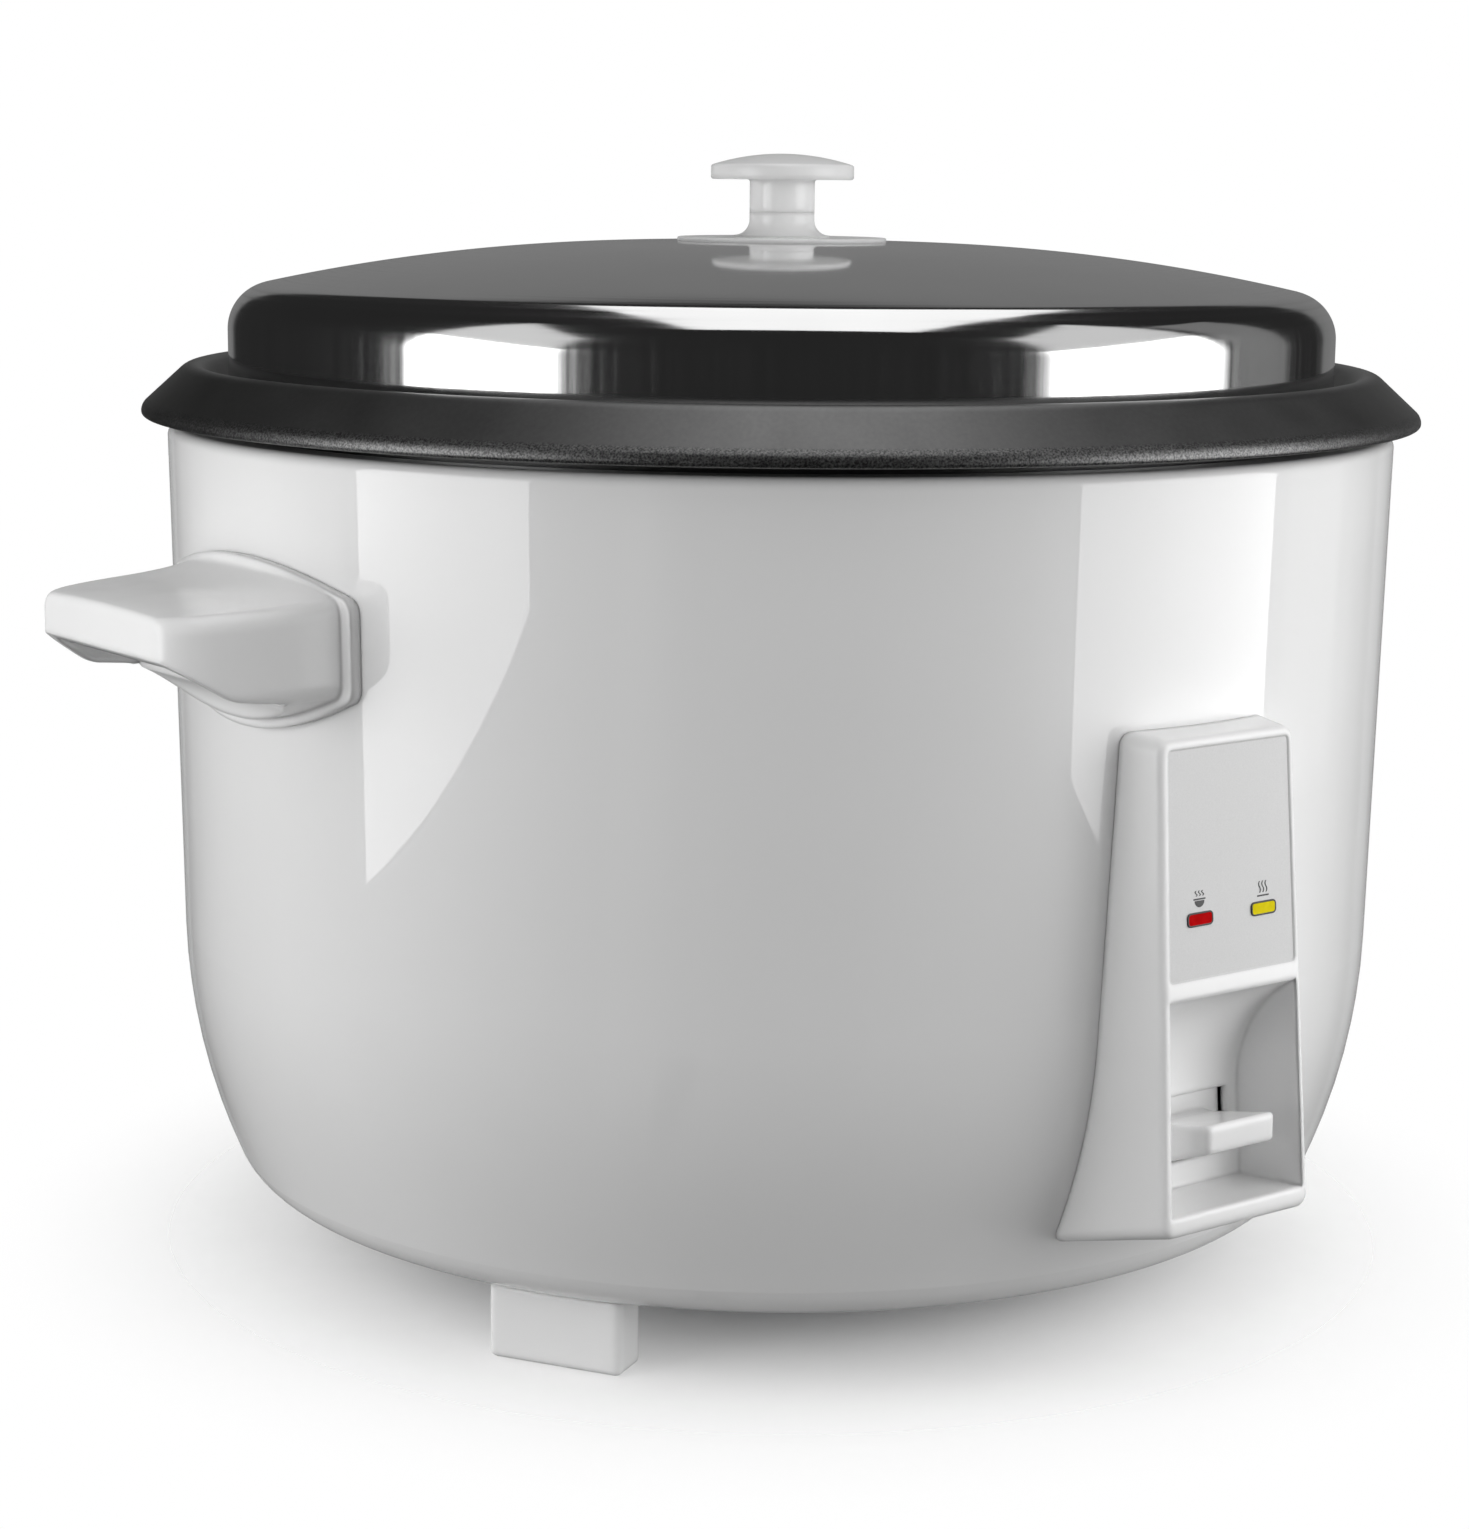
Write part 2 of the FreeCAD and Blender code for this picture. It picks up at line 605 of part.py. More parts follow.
def knob_washer():
    bore = SCREW_R + HOLE_CLEARANCE
    seat = V(0, 0, LAND_Z)
    washer = rod(KNOB_WASHER_R, KNOB_WASHER_T, seat)
    rim = [e for e in washer.Edges if abs(e.CenterOfMass.z - KNOB_Z) < 0.01]
    return washer.makeFillet(KNOB_WASHER_T * 0.4, rim).cut(rod(bore, KNOB_WASHER_T, seat))


def knob_base():
    bore = SCREW_R + HOLE_CLEARANCE
    foot_r = KNOB_NECK_R + KNOB_FLARE_R
    flare_z = KNOB_Z + KNOB_FLANGE_T + KNOB_FLARE_R
    seam = KNOB_Z + KNOB_SEAM_HEIGHT
    edges = [line(flat(bore, KNOB_Z), flat(foot_r, KNOB_Z)),
             line(flat(foot_r, KNOB_Z), flat(foot_r, KNOB_Z + KNOB_FLANGE_T)),
             arc(foot_r, flare_z, KNOB_FLARE_R, -math.pi / 2, -math.pi),
             line(flat(KNOB_NECK_R, flare_z), flat(KNOB_NECK_R, seam)),
             line(flat(KNOB_NECK_R, seam), flat(bore, seam)),
             line(flat(bore, seam), flat(bore, KNOB_Z))]
    return turned_loop(edges)


def knob_cap():
    bore = SCREW_R + HOLE_CLEARANCE
    seam = KNOB_Z + KNOB_SEAM_HEIGHT
    under = KNOB_Z + KNOB_CAP_HEIGHT
    edge = under + KNOB_CAP_EDGE
    bore_top = (under + edge) / 2 - SCREW_PROUD
    outline = path([(flat(KNOB_NECK_R, seam), 0), (flat(KNOB_NECK_R, under), KNOB_EDGE_R),
                    (flat(KNOB_CAP_R, under), KNOB_EDGE_R), (flat(KNOB_CAP_R, edge), 0)])
    crown_r = (KNOB_CAP_R ** 2 + KNOB_CAP_CROWN ** 2) / (2 * KNOB_CAP_CROWN)
    top = edge + KNOB_CAP_CROWN
    start = math.asin((crown_r - KNOB_CAP_CROWN) / crown_r)
    outline.append(arc(0, top - crown_r, crown_r, start, math.pi / 2))
    inside = [(0, top), (0, bore_top), (bore, bore_top), (bore, seam), (KNOB_NECK_R, seam)]
    outline += [line(flat(*a), flat(*b)) for a, b in zip(inside, inside[1:])]
    cap = turned_loop(outline)
    rim = [e for e in cap.Edges if abs(e.CenterOfMass.z - edge) < 0.01 and e.Length > 2 * KNOB_CAP_R]
    return cap.makeFillet(KNOB_EDGE_R, rim)


def knob_screw():
    seat = V(0, 0, LAND_Z - LID_SHEET)
    return screw(seat, UP, KNOB_WASHER_T + LID_SHEET + KNOB_SEAM_HEIGHT + KNOB_CAP_EDGE)


def barrel(x, half, end, middle, radius):
    """Handle section across X: upright sides, with the top and bottom bowed from end to middle."""
    edges = []
    rounds = []
    for sign, low, high in ((1, end[1], middle[1]), (-1, -end[0], -middle[0])):
        bow = high - low
        big = (half ** 2 + bow ** 2) / (2 * bow)
        centre = high - big
        small_y = half - radius
        small_z = centre + math.sqrt((big - radius) ** 2 - small_y ** 2)
        meet = math.atan2(small_z - centre, small_y)
        rounds.append((sign, big, centre, small_y, small_z, meet))
    points = []
    for sign, big, centre, small_y, small_z, meet in rounds:
        def at(y, z):
            return V(x, y * sign, HANDLE_Z + z * sign)
        mid = V(0, small_y + radius * math.cos(meet / 2), small_z + radius * math.sin(meet / 2))
        bow_y = big * math.cos(meet)
        bow_z = centre + big * math.sin(meet)
        points.append([at(half, small_z), at(mid.y, mid.z), at(bow_y, bow_z), at(0, centre + big),
                       at(-bow_y, bow_z), at(-mid.y, mid.z), at(-half, small_z)])
    upper, lower = points
    for side in (upper, lower):
        edges += [Part.Arc(*side[i:i + 3]).toShape() for i in (0, 2, 4)]
        other = lower if side is upper else upper
        edges.append(line(side[6], other[0]))
    return Part.Wire(edges)


def handle_loft(sections, inset, start, reach):
    """Grip solid whose sections run from the drum outwards, each set in by a wall."""
    low_end = HANDLE_PLATE_END[0] + HANDLE_GRIP_INSET[0] - 2 * inset
    low_middle = HANDLE_PLATE_MID[0] + HANDLE_GRIP_INSET[1] - 2 * inset
    first = sections[0][0]
    wires = []
    for share, side, drop, crown in sections:
        x = drum_wall(HANDLE_Z) + start + (share - first) / (1 - first) * reach
        high_end = HANDLE_PLATE_END[1] - drop - inset
        wires.append(barrel(x, HANDLE_PLATE_HALF - side - inset, (low_end, high_end),
                            (low_middle, high_end + crown), HANDLE_CORNER_R))
    return Part.makeLoft(wires, True, False)


def handle_underside():
    """Space under the grip: flat below the fingers, then sloping up to the outer face."""
    wall = drum_wall(HANDLE_Z)
    low = 2 * HANDLE_PLATE_MID[0]
    end_z = HANDLE_PLATE_END[0]
    slope = [end_z + rise for rise in HANDLE_SLOPE_RANGE]
    corners = [(HANDLE_RAISE, low, 0), (HANDLE_RAISE, end_z - 1, HANDLE_ROOT_FLARE),
               (HANDLE_REACH - HANDLE_SLOPE_RUN, slope[0], HANDLE_SLOPE_ROUND),
               (HANDLE_REACH + HANDLE_SLOPE_PAST, slope[1], 0)]
    edges = path([(V(wall + x, -2 * HANDLE_PLATE_HALF, HANDLE_Z + z), radius) for x, z, radius in corners])
    start, end = edges[0].Vertexes[0].Point, edges[-1].Vertexes[-1].Point
    below = V(end.x, end.y, start.z)
    edges += [line(end, below), line(below, start)]
    return Part.Face(Part.Wire(edges)).extrude(V(0, 4 * HANDLE_PLATE_HALF, 0))


def handle(side, drum, plate_skin):
    """Thin walled grip, open below for the fingers, on a barrel shaped plate that follows the drum."""
    first = HANDLE_SECTIONS[0][0] * HANDLE_REACH
    grip = handle_loft(HANDLE_SECTIONS, 0, first, HANDLE_REACH - first)
    cap = [e for e in grip.Edges if e.BoundBox.XMin > grip.BoundBox.XMax - 0.01]
    grip = grip.makeFillet(HANDLE_EDGE_R, cap)
    inside = HANDLE_REACH - HANDLE_WALL - HANDLE_ROOT_WALL
    hollow = handle_loft(HANDLE_SECTIONS[2:], HANDLE_WALL, HANDLE_ROOT_WALL, inside)
    wall = drum_wall(HANDLE_Z)
    plate = barrel(wall * 0.9, HANDLE_PLATE_HALF, HANDLE_PLATE_END, HANDLE_PLATE_MID, HANDLE_CORNER_R)
    plate = Part.Face(plate).extrude(V(wall * 0.2, 0, 0)).common(plate_skin)
    body = grip.cut([handle_underside(), hollow]).fuse(plate).cut(drum)
    pilots = [rod(SCREW_R + HOLE_CLEARANCE, DRUM_SHEET + HANDLE_ROOT_WALL - SCREW_PROUD, seat, along)
              for seat, along in handle_screw_places() if along.x > 0]
    body = body.cut(pilots)
    if side < 0:
        body = body.mirror(V(0, 0, 0), V(1, 0, 0))
    return body


def face_loop(w, inset, bottom=0.0, radius=PANEL_CORNER_R):
    """Outline of the panel's face in its own frame, set in from its edges and cut off at the bottom."""
    def half(v):
        return PANEL_HALF_BOTTOM + (PANEL_HALF_TOP - PANEL_HALF_BOTTOM) * v / PANEL_V - inset
    low = max(bottom, inset) if bottom else inset
    high = PANEL_V - inset
    corners = ((-half(low), low), (half(low), low), (half(high), high), (-half(high), high))
    return loop([V(u, v, w) for u, v in corners], radius)


def panel_prism(inset, top, depth, draft, radius):
    """Prism behind the panel's face that widens by the draft towards the drum."""
    return Part.makeLoft([face_loop(top, inset, radius=radius),
                          face_loop(-depth, inset - (depth + top) * draft, radius=radius)], True, True)


def recess_prism(grow):
    """Finger recess: floor square to the face, flat back wall and a cove up to the face."""
    deep = RECESS_DEPTH + grow
    low = RECESS_BOTTOM_V - grow
    radius = RECESS_COVE_R + grow
    top = COVE_V + math.sqrt(radius ** 2 - COVE_W ** 2)
    half = PANEL_HALF_BOTTOM

    def at(v, w):
        return V(-half, v, w)
    bend = (math.pi + math.atan2(top - COVE_V, -COVE_W)) / 2
    cove = Part.Arc(at(COVE_V, -deep), at(COVE_V + radius * math.sin(bend), COVE_W + radius * math.cos(bend)),
                    at(top, 0)).toShape()
    edges = [line(at(low, 0), at(low, -deep)), line(at(low, -deep), at(COVE_V, -deep)), cove,
             line(at(top, 0), at(top, 1)), line(at(top, 1), at(low, 1)), line(at(low, 1), at(low, 0))]
    prism = Part.Face(Part.Wire(edges)).extrude(V(2 * half, 0, 0))
    sides = panel_prism(PANEL_WALL - grow, 1.0, deep + 2, -RECESS_TAPER / RECESS_DEPTH, RECESS_CORNER_R)
    return prism.common(sides)


def lamp_prism(u, grow, low, high):
    """Rounded lamp outline extruded between two depths behind or before the face."""
    half_u = LAMP_WIDTH / 2 + grow
    half_v = LAMP_HEIGHT / 2 + grow
    corners = [(-1, -1), (1, -1), (1, 1), (-1, 1)]
    outline = loop([V(u + a * half_u, LAMP_V + b * half_v, low) for a, b in corners], LAMP_CORNER_R + grow)
    return Part.Face(outline).extrude(V(0, 0, high - low))


def control_panel(drum):
    """Moulded housing: drafted shell, finger recess with the lever slot, label pocket, lamp windows."""
    skin = panel_prism(0, 0, PANEL_SKIRT, DRAFT, PANEL_CORNER_R)
    skin = skin.makeFillet(PANEL_EDGE_R, [e for e in skin.Edges if e.BoundBox.ZMin > -0.01])
    inside = panel_prism(PANEL_WALL, -PANEL_WALL, PANEL_SKIRT + 1, DRAFT, PANEL_CORNER_R - PANEL_WALL)
    bosses = [rod(PANEL_BOSS_R, PANEL_SKIRT - PANEL_WALL, V(0, v, -PANEL_SKIRT)) for v in PANEL_SCREW_V]
    housing = skin.cut(inside).fuse(bosses)
    housing.Placement = PANEL_PLACE
    housing = housing.cut(drum)

    box = recess_prism(RECESS_WALL).common(panel_prism(0.5, -0.5, PANEL_SKIRT, DRAFT, PANEL_CORNER_R))
    box.Placement = PANEL_PLACE
    slot = block((-SLOT_HALF_WIDTH, SLOT_V - SLOT_HALF_HEIGHT, -RECESS_DEPTH - 2 * RECESS_WALL),
                 (SLOT_HALF_WIDTH, SLOT_V + SLOT_HALF_HEIGHT, -RECESS_DEPTH / 2))
    label = face_loop(0, LABEL_MARGIN, LABEL_BOTTOM_V, LABEL_CORNER_R)
    pocket = Part.Face(label).extrude(V(0, 0, -LABEL_POCKET))
    cuts = [recess_prism(0), slot, pocket]
    cuts += [lamp_prism(u, SEAT, -PANEL_SKIRT / 4, 1) for u in (-LAMP_U, LAMP_U)]
    for tool in cuts:
        tool.Placement = PANEL_PLACE
    return housing.fuse(box).cut(cuts + holes(panel_screw_places(), HOLE_REACH))


def in_panel(shape):
    shape.Placement = PANEL_PLACE
    return shape


def label_plate():
    outline = face_loop(-LABEL_POCKET, LABEL_MARGIN + SEAT, LABEL_BOTTOM_V + SEAT, LABEL_CORNER_R)
    plate = Part.Face(outline).extrude(V(0, 0, LABEL_T))
    return in_panel(plate.cut([lamp_prism(u, SEAT, -LABEL_POCKET - 1, 1) for u in (-LAMP_U, LAMP_U)]))


def lamp_lens(u):
    window = lamp_prism(u, 0, LENS_BACK_W, 0)
    return in_panel(window.fuse(lamp_prism(u, LENS_FLANGE, LENS_BACK_W, -PANEL_WALL)))


def lamp_holder():
    """Tray behind the lenses with a pocket for each lamp."""
    room = LAMP_BODY_R + SEAT
    half_v = LAMP_BODY_R + HOLDER_WALL
    tray = block((-LAMP_U - LAMP_WIDTH, LAMP_V - half_v, LENS_BACK_W - 2 * half_v + HOLDER_WALL),
                 (LAMP_U + LAMP_WIDTH, LAMP_V + half_v, LENS_BACK_W))
    half_u = LAMP_WIDTH / 2 + LAMP_END_ROOM
    deep = LENS_BACK_W - 2 * room
    pockets = [block((u - half_u, LAMP_V - room, deep), (u + half_u, LAMP_V + room, LENS_BACK_W))
               for u in (-LAMP_U, LAMP_U)]
    return in_panel(tray.cut(pockets))


def neon_lamps():
    length = LAMP_WIDTH + LAMP_END_ROOM
    w = LENS_BACK_W - LAMP_BODY_R - SEAT
    lamps = [rod(LAMP_BODY_R, length, V(u - length / 2, LAMP_V, w), V(1, 0, 0)) for u in (-LAMP_U, LAMP_U)]
    return in_panel(Part.Compound(lamps))


def lever_key():
    """Finger key: a wedge through the slot, with a shutter behind the recess wall and a tongue inside."""
    wall = -SLOT.y
    behind = wall - RECESS_WALL - SLIDE_GAP - SHUTTER_T
    z = SLOT.z
    wedge = slab([(wall + KEY_LENGTH, z + KEY_TIP[0]), (wall + KEY_LENGTH, z + KEY_TIP[1]),
                  (wall, z + KEY_ROOT[1]), (behind, z + KEY_ROOT[1]), (behind, z + KEY_ROOT[0]),
                  (wall, z + KEY_ROOT[0])], KEY_HALF)
    tip = [e for e in wedge.Edges if -e.CenterOfMass.y > wall + KEY_LENGTH * 0.4]
    wedge = wedge.makeFillet(KEY_EDGE_R, tip)
    lean = math.tan(TILT)
    low, high = SHUTTER_RANGE
    bottom, top = behind - low * lean, behind - high * lean
    shutter = slab([(bottom, z + low), (bottom + SHUTTER_T, z + low),
                    (top + SHUTTER_T, z + high), (top, z + high)], SHUTTER_HALF)
    tongue = block((-ARM_HALF, -behind - SHUTTER_T / 2, ARM_TOP_Z),
                   (ARM_HALF, KEY_TONGUE - behind, ARM_TOP_Z + KEY_TONGUE_T))
    hole = rod(SCREW_R + HOLE_CLEARANCE, KEY_TONGUE_T, lever_screw_seat() - UP * KEY_TONGUE_T)
    return wedge.fuse([shutter, tongue]).cut(hole)


def lever_screw_seat():
    """Top of the tongue, in the middle of its overlap with the arm."""
    return V(0, SLOT.y + RECESS_WALL + KEY_TONGUE * 0.6, ARM_TOP_Z + KEY_TONGUE_T)


def arm_knees():
    """Distances from the axis of the arm's outer and inner bend."""
    return -SLOT.y - ARM_BEND[0], -SLOT.y - ARM_BEND[1]


def lever_arm():
    """Bent steel strip with a fork for the rod and two ears for the pin."""
    wall = -SLOT.y
    outer = wall - RECESS_WALL - ARM_END_GAP
    bend_out, bend_in = arm_knees()
    inner = -COLLAR_R - EAR_T
    top, low = ARM_TOP_Z, ARM_INNER_Z
    strip = slab([(outer, top), (bend_out, top), (bend_in, low), (inner, low), (inner, low - ARM_T),
                  (bend_in + ARM_T / 2, low - ARM_T), (bend_out + ARM_T / 2, top - ARM_T),
                  (outer, top - ARM_T)], ARM_HALF)
    ear = block((ARM_HALF - EAR_T, PIVOT.y - EAR_HALF, PIVOT.z), (ARM_HALF, PIVOT.y + EAR_HALF, low))
    ear = ear.fuse(rod(EAR_HALF, EAR_T, V(ARM_HALF - EAR_T, PIVOT.y, PIVOT.z), V(1, 0, 0)))
    ears = [ear, ear.mirror(V(0, 0, 0), V(1, 0, 0))]
    fork_half = ROD_R + FORK_PLAY
    fork = block((-fork_half, -ROD_R - FORK_DEPTH, low - 2 * ARM_T), (fork_half, 2 * COLLAR_R, low + ARM_T))
    eye = rod(PIN_R + RUNNING, 4 * ARM_HALF, PIVOT - V(2 * ARM_HALF, 0, 0), V(1, 0, 0))
    deep = KEY_TONGUE_T + 2 * ARM_T
    hole = rod(SCREW_R + HOLE_CLEARANCE, deep, lever_screw_seat() - UP * deep)
    return strip.fuse(ears).cut([fork, eye, hole])


def lever_screw():
    return screw(lever_screw_seat(), V(0, 0, -1), KEY_TONGUE_T + ARM_T + SCREW_PROUD)


def lever_bracket():
    """Folded steel saddle under the heat shield that carries the pin."""
    out = BRACKET_INNER + BRACKET_T
    top = SHIELD_Z
    low = PIVOT.z - EAR_HALF
    saddle = block((-out, PIVOT.y - EAR_HALF, low), (out, PIVOT.y + EAR_HALF, top))
    saddle = saddle.cut(block((-BRACKET_INNER, PIVOT.y - 2 * EAR_HALF, low - 1),
                              (BRACKET_INNER, PIVOT.y + 2 * EAR_HALF, top - BRACKET_T)))
    corners = [e for e in saddle.Edges if abs(e.tangentAt(0).x) > 0.9 and e.CenterOfMass.z < low + 0.01]
    saddle = saddle.makeFillet(EAR_HALF * 0.5, corners)
    return saddle.cut(rod(PIN_R + RUNNING / 3, 4 * out, PIVOT - V(2 * out, 0, 0), V(1, 0, 0)))


def lever_pin():
    out = BRACKET_INNER + BRACKET_T
    shank = rod(PIN_R, 2 * out + PIN_TAIL, V(-out - PIN_TAIL, PIVOT.y, PIVOT.z), V(1, 0, 0))
    return shank.fuse(rod(PIN_HEAD_R, PIN_HEAD_T, V(out, PIVOT.y, PIVOT.z), V(1, 0, 0)))


def sensor_cup():
    """Sprung aluminium cap that the pot's floor presses on."""
    edges = path([(flat(0, HEATER_TOP_Z), 0), (flat(SENSOR_R, HEATER_TOP_Z), SENSOR_EDGE_R),
                  (flat(SENSOR_R, HEATER_TOP_Z - SENSOR_HEIGHT), 0)])
    return turned_sheet(edges, -SENSOR_SHEET)


def sensor_frame():
    """Pan under the heat shield that the cup's spring stands on, with a hole for the rod."""
    flange_z = SHIELD_Z - FRAME_SHEET
    edges = path([(flat(FRAME_HOLE_R, FRAME_Z), 0), (flat(FRAME_R, FRAME_Z), FRAME_EDGE_R[0]),
                  (flat(FRAME_R, flange_z), FRAME_EDGE_R[1]), (flat(FRAME_R + FRAME_FLANGE, flange_z), 0)])
    return turned_sheet(edges, FRAME_SHEET)


def sensor_spring():
    """Open coil between the pan and the cup's roof, made of tilted half turns."""
    low = FRAME_Z + FRAME_SHEET + SPRING_WIRE_R + SEAT
    high = SENSOR_ROOF_Z - SPRING_WIRE_R - SEAT
    rise = (high - low) / (2 * SPRING_TURNS)
    bulge = math.hypot(SPRING_R, rise / 2)
    arcs = []
    for i in range(2 * SPRING_TURNS):
        side = 1 if i % 2 == 0 else -1
        z = low + i * rise
        arcs.append(Part.Arc(V(side * SPRING_R, 0, z), V(0, side * bulge, z + rise / 2),
                             V(-side * SPRING_R, 0, z + rise)).toShape())
    wire_end = Part.Wire(Part.makeCircle(SPRING_WIRE_R, V(SPRING_R, 0, low), V(0, 1, 0)))
    return Part.Wire(arcs).makePipeShell([wire_end], True, False)


def ferrite_core():
    return rod(FERRITE_R, FERRITE_T, V(0, 0, SENSOR_ROOF_Z - FERRITE_T))


def magnet():
    return rod(FERRITE_R, MAGNET_T, V(0, 0, MAGNET_TOP_Z - MAGNET_T))


def magnet_rod():
    """Rod below the magnet with a collar each side of the lever's fork."""
    top = MAGNET_TOP_Z - MAGNET_T
    upper = ARM_INNER_Z + COLLAR_PLAY
    lower = ARM_INNER_Z - ARM_T - COLLAR_PLAY - COLLAR_T
    shank = rod(ROD_R, top - lower, V(0, 0, lower))
    return shank.fuse([rod(COLLAR_R, COLLAR_T, V(0, 0, z)) for z in (upper, lower)])


def lifted_arm(n):
    """Height of the arm's top at a distance from the axis, at the end of the lever's travel."""
    knee_out, knee_in = arm_knees()
    share = min(max((n - knee_in) / (knee_out - knee_in), 0), 1)
    return ARM_INNER_Z + ARM_DROP * share + (n - PIVOT_R) * math.radians(LEVER_TRAVEL_DEG)


def micro_switch():
    """Contact block over the arm, whose button the arm reaches at the end of its travel."""
    near = PIVOT_R + EAR_HALF + SWITCH_GAP
    far = near + SWITCH_LENGTH
    middle = (near + far) / 2
    tip = lifted_arm(middle) + LIFT_GAP
    low = max(tip, lifted_arm(far)) + SWITCH_GAP
    body = block((-SWITCH_HALF, -far, low), (SWITCH_HALF, -near, SHIELD_Z))
    body = body.makeFillet(SWITCH_EDGE_R, [e for e in body.Edges if e.CenterOfMass.z < SHIELD_Z - 0.1])
    return body.fuse(rod(SWITCH_BUTTON_R, low - tip + SWITCH_EDGE_R, V(0, -middle, tip)))


def keep_warm_thermostat():
    place = around(KEEP_WARM_ANGLE, KEEP_WARM_PLACE_R, HEATER_LOW_Z - KEEP_WARM_T)
    stud = rod(KEEP_WARM_STUD_R, KEEP_WARM_STUD_T, place - UP * KEEP_WARM_STUD_T)
    return rod(KEEP_WARM_R, KEEP_WARM_T, place).fuse(stud)


def fuse_parts():
    """Thermal fuse in its clip under the heat shield."""
    x, y = FUSE_PLACE
    z = SHIELD_Z - FUSE_DROP
    start = V(x - FUSE_LENGTH / 2, y, z)
    tube = rod(FUSE_R, FUSE_LENGTH, start, V(1, 0, 0))
    clip = block((x - CLIP_HALF, y - CLIP_HALF, z - CLIP_BELOW), (x + CLIP_HALF, y + CLIP_HALF, SHIELD_Z))
    low = [e for e in clip.Edges if abs(e.tangentAt(0).x) > 0.9 and e.CenterOfMass.z < z]
    bore = rod(FUSE_R + RUNNING, FUSE_LENGTH, start, V(1, 0, 0))
    return tube, clip.makeFillet(CLIP_ROUND, low).cut(bore)


def terminal_block():
    low = SHIELD_Z - BLOCK_HEIGHT
    body = block((-BLOCK_HALF, BLOCK_Y, low), (BLOCK_HALF, BLOCK_Y + BLOCK_DEPTH, SHIELD_Z))
    body = body.makeFillet(BLOCK_EDGE_R, [e for e in body.Edges if abs(e.tangentAt(0).z) > 0.9])
    middle = low + BLOCK_HEIGHT / 2
    ways = [rod(BLOCK_WAY_R, BLOCK_DEPTH, V(x, BLOCK_Y, middle), V(0, 1, 0)) for x in BLOCK_WAYS]
    return body.cut(ways)


def inlet_face_y():
    return drum_wall(INLET_Z) + INLET_STANDOFF


def power_inlet(drum):
    """Appliance inlet: bevelled bezel that follows the drum, with a socket sunk through the wall."""
    face = inlet_face_y()
    bezel = block((-INLET_HALF[0], DRUM_TOP_R * 0.7, INLET_Z - INLET_HALF[1]),
                  (INLET_HALF[0], face, INLET_Z + INLET_HALF[1]))
    bezel = bezel.makeFillet(INLET_CORNER_R, [e for e in bezel.Edges if abs(e.tangentAt(0).y) > 0.9])
    bezel = bezel.makeFillet(INLET_EDGE_R, [e for e in bezel.Edges if e.BoundBox.YMin > face - 0.01])
    half_u, half_z = INLET_SOCKET_HALF
    floor = face - INLET_SOCKET_DEPTH
    sleeve = block((-half_u - INLET_WALL, floor - INLET_WALL, INLET_Z - half_z - INLET_WALL),
                   (half_u + INLET_WALL, face - INLET_SLEEVE_SET, INLET_Z + half_z + INLET_WALL))
    socket = block((-half_u, floor, INLET_Z - half_z), (half_u, face + 1, INLET_Z + half_z))
    keyed = [e for e in socket.Edges if abs(e.tangentAt(0).y) > 0.9 and e.CenterOfMass.z > INLET_Z]
    socket = socket.makeChamfer(INLET_KEY_CHAMFER, keyed)
    return bezel.cut(drum).fuse(sleeve).cut([socket] + inlet_pin_blades(RUNNING))


def inlet_pin_blades(grow):
    """Flat contact pins, from the socket back to their tails inside the drum."""
    floor = inlet_face_y() - INLET_SOCKET_DEPTH
    tail = floor - INLET_WALL - INLET_PIN_TAIL
    tip = floor + INLET_PIN_LENGTH
    half_u, half_z = (half + grow for half in INLET_PIN_HALF)
    return [block((u - half_u, tail, INLET_Z + z - half_z), (u + half_u, tip, INLET_Z + z + half_z))
            for u, z in INLET_PIN_PLACES]


def make_parts():
    drum = drum_block(SEAT)
    plate_skin = drum_block(HANDLE_PLATE_T).cut(drum)
    foot_screw_length = FOOT_HEIGHT - FOOT_HEAD_RECESS + DRUM_SHEET + NUT_T + SCREW_PROUD
    fuse, clip = fuse_parts()
    parts = {name: foot(angle, drum) for name, angle in FOOT_ANGLES.items()}
    parts.update({
        "outer_shell": outer_shell(),
        "base_plate": base_plate(),
        "base_screws": screws(base_screw_places(), BASE_SCREW_LENGTH),
        "foot_screws": screws(foot_screw_places(), foot_screw_length),
        "foot_nuts": foot_nuts(),
        "handle_left": handle(-1, drum, plate_skin),
        "handle_right": handle(1, drum, plate_skin),
        "handle_screws": screws(handle_screw_places(), HANDLE_ROOT_WALL - 2 * SCREW_PROUD),
        "control_panel": control_panel(drum),
        "panel_screws": screws(panel_screw_places(), PANEL_SCREW_LENGTH),
        "label_plate": label_plate(),
        "cook_lens": lamp_lens(-LAMP_U),
        "warm_lens": lamp_lens(LAMP_U),
        "lamp_holder": lamp_holder(),
        "neon_lamps": neon_lamps(),
        "inner_pot": inner_pot(),
        "lid": lid(),
        "knob_washer": knob_washer(),
        "knob_base": knob_base(),
        "knob_cap": knob_cap(),
        "knob_screw": knob_screw(),
        "heat_shield": heat_shield(),
        "heater_plate": heater_plate(),
        "heater_terminals": heater_terminals(),
        "heater_posts": heater_posts(),
        "heater_screws": screws(heater_screw_places(), HEATER_SCREW_LENGTH),
        "sensor_cup": sensor_cup(),
        "sensor_spring": sensor_spring(),
        "sensor_frame": sensor_frame(),
        "ferrite_core": ferrite_core(),
        "magnet": magnet(),
        "magnet_rod": magnet_rod(),
        "lever_key": lever_key(),
        "lever_arm": lever_arm(),
        "lever_screw": lever_screw(),
        "lever_bracket": lever_bracket(),
        "lever_pin": lever_pin(),
        "micro_switch": micro_switch(),
        "keep_warm_thermostat": keep_warm_thermostat(),
        "thermal_fuse": fuse,
        "fuse_clip": clip,
        "terminal_block": terminal_block(),
        "power_inlet": power_inlet(drum),
        "inlet_pins": Part.Compound(inlet_pin_blades(0)),
    })
    return parts


os.makedirs("parts", exist_ok=True)
for name, shape in make_parts().items():
    shape.exportStep("parts/" + name + ".step")
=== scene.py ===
import json
import math

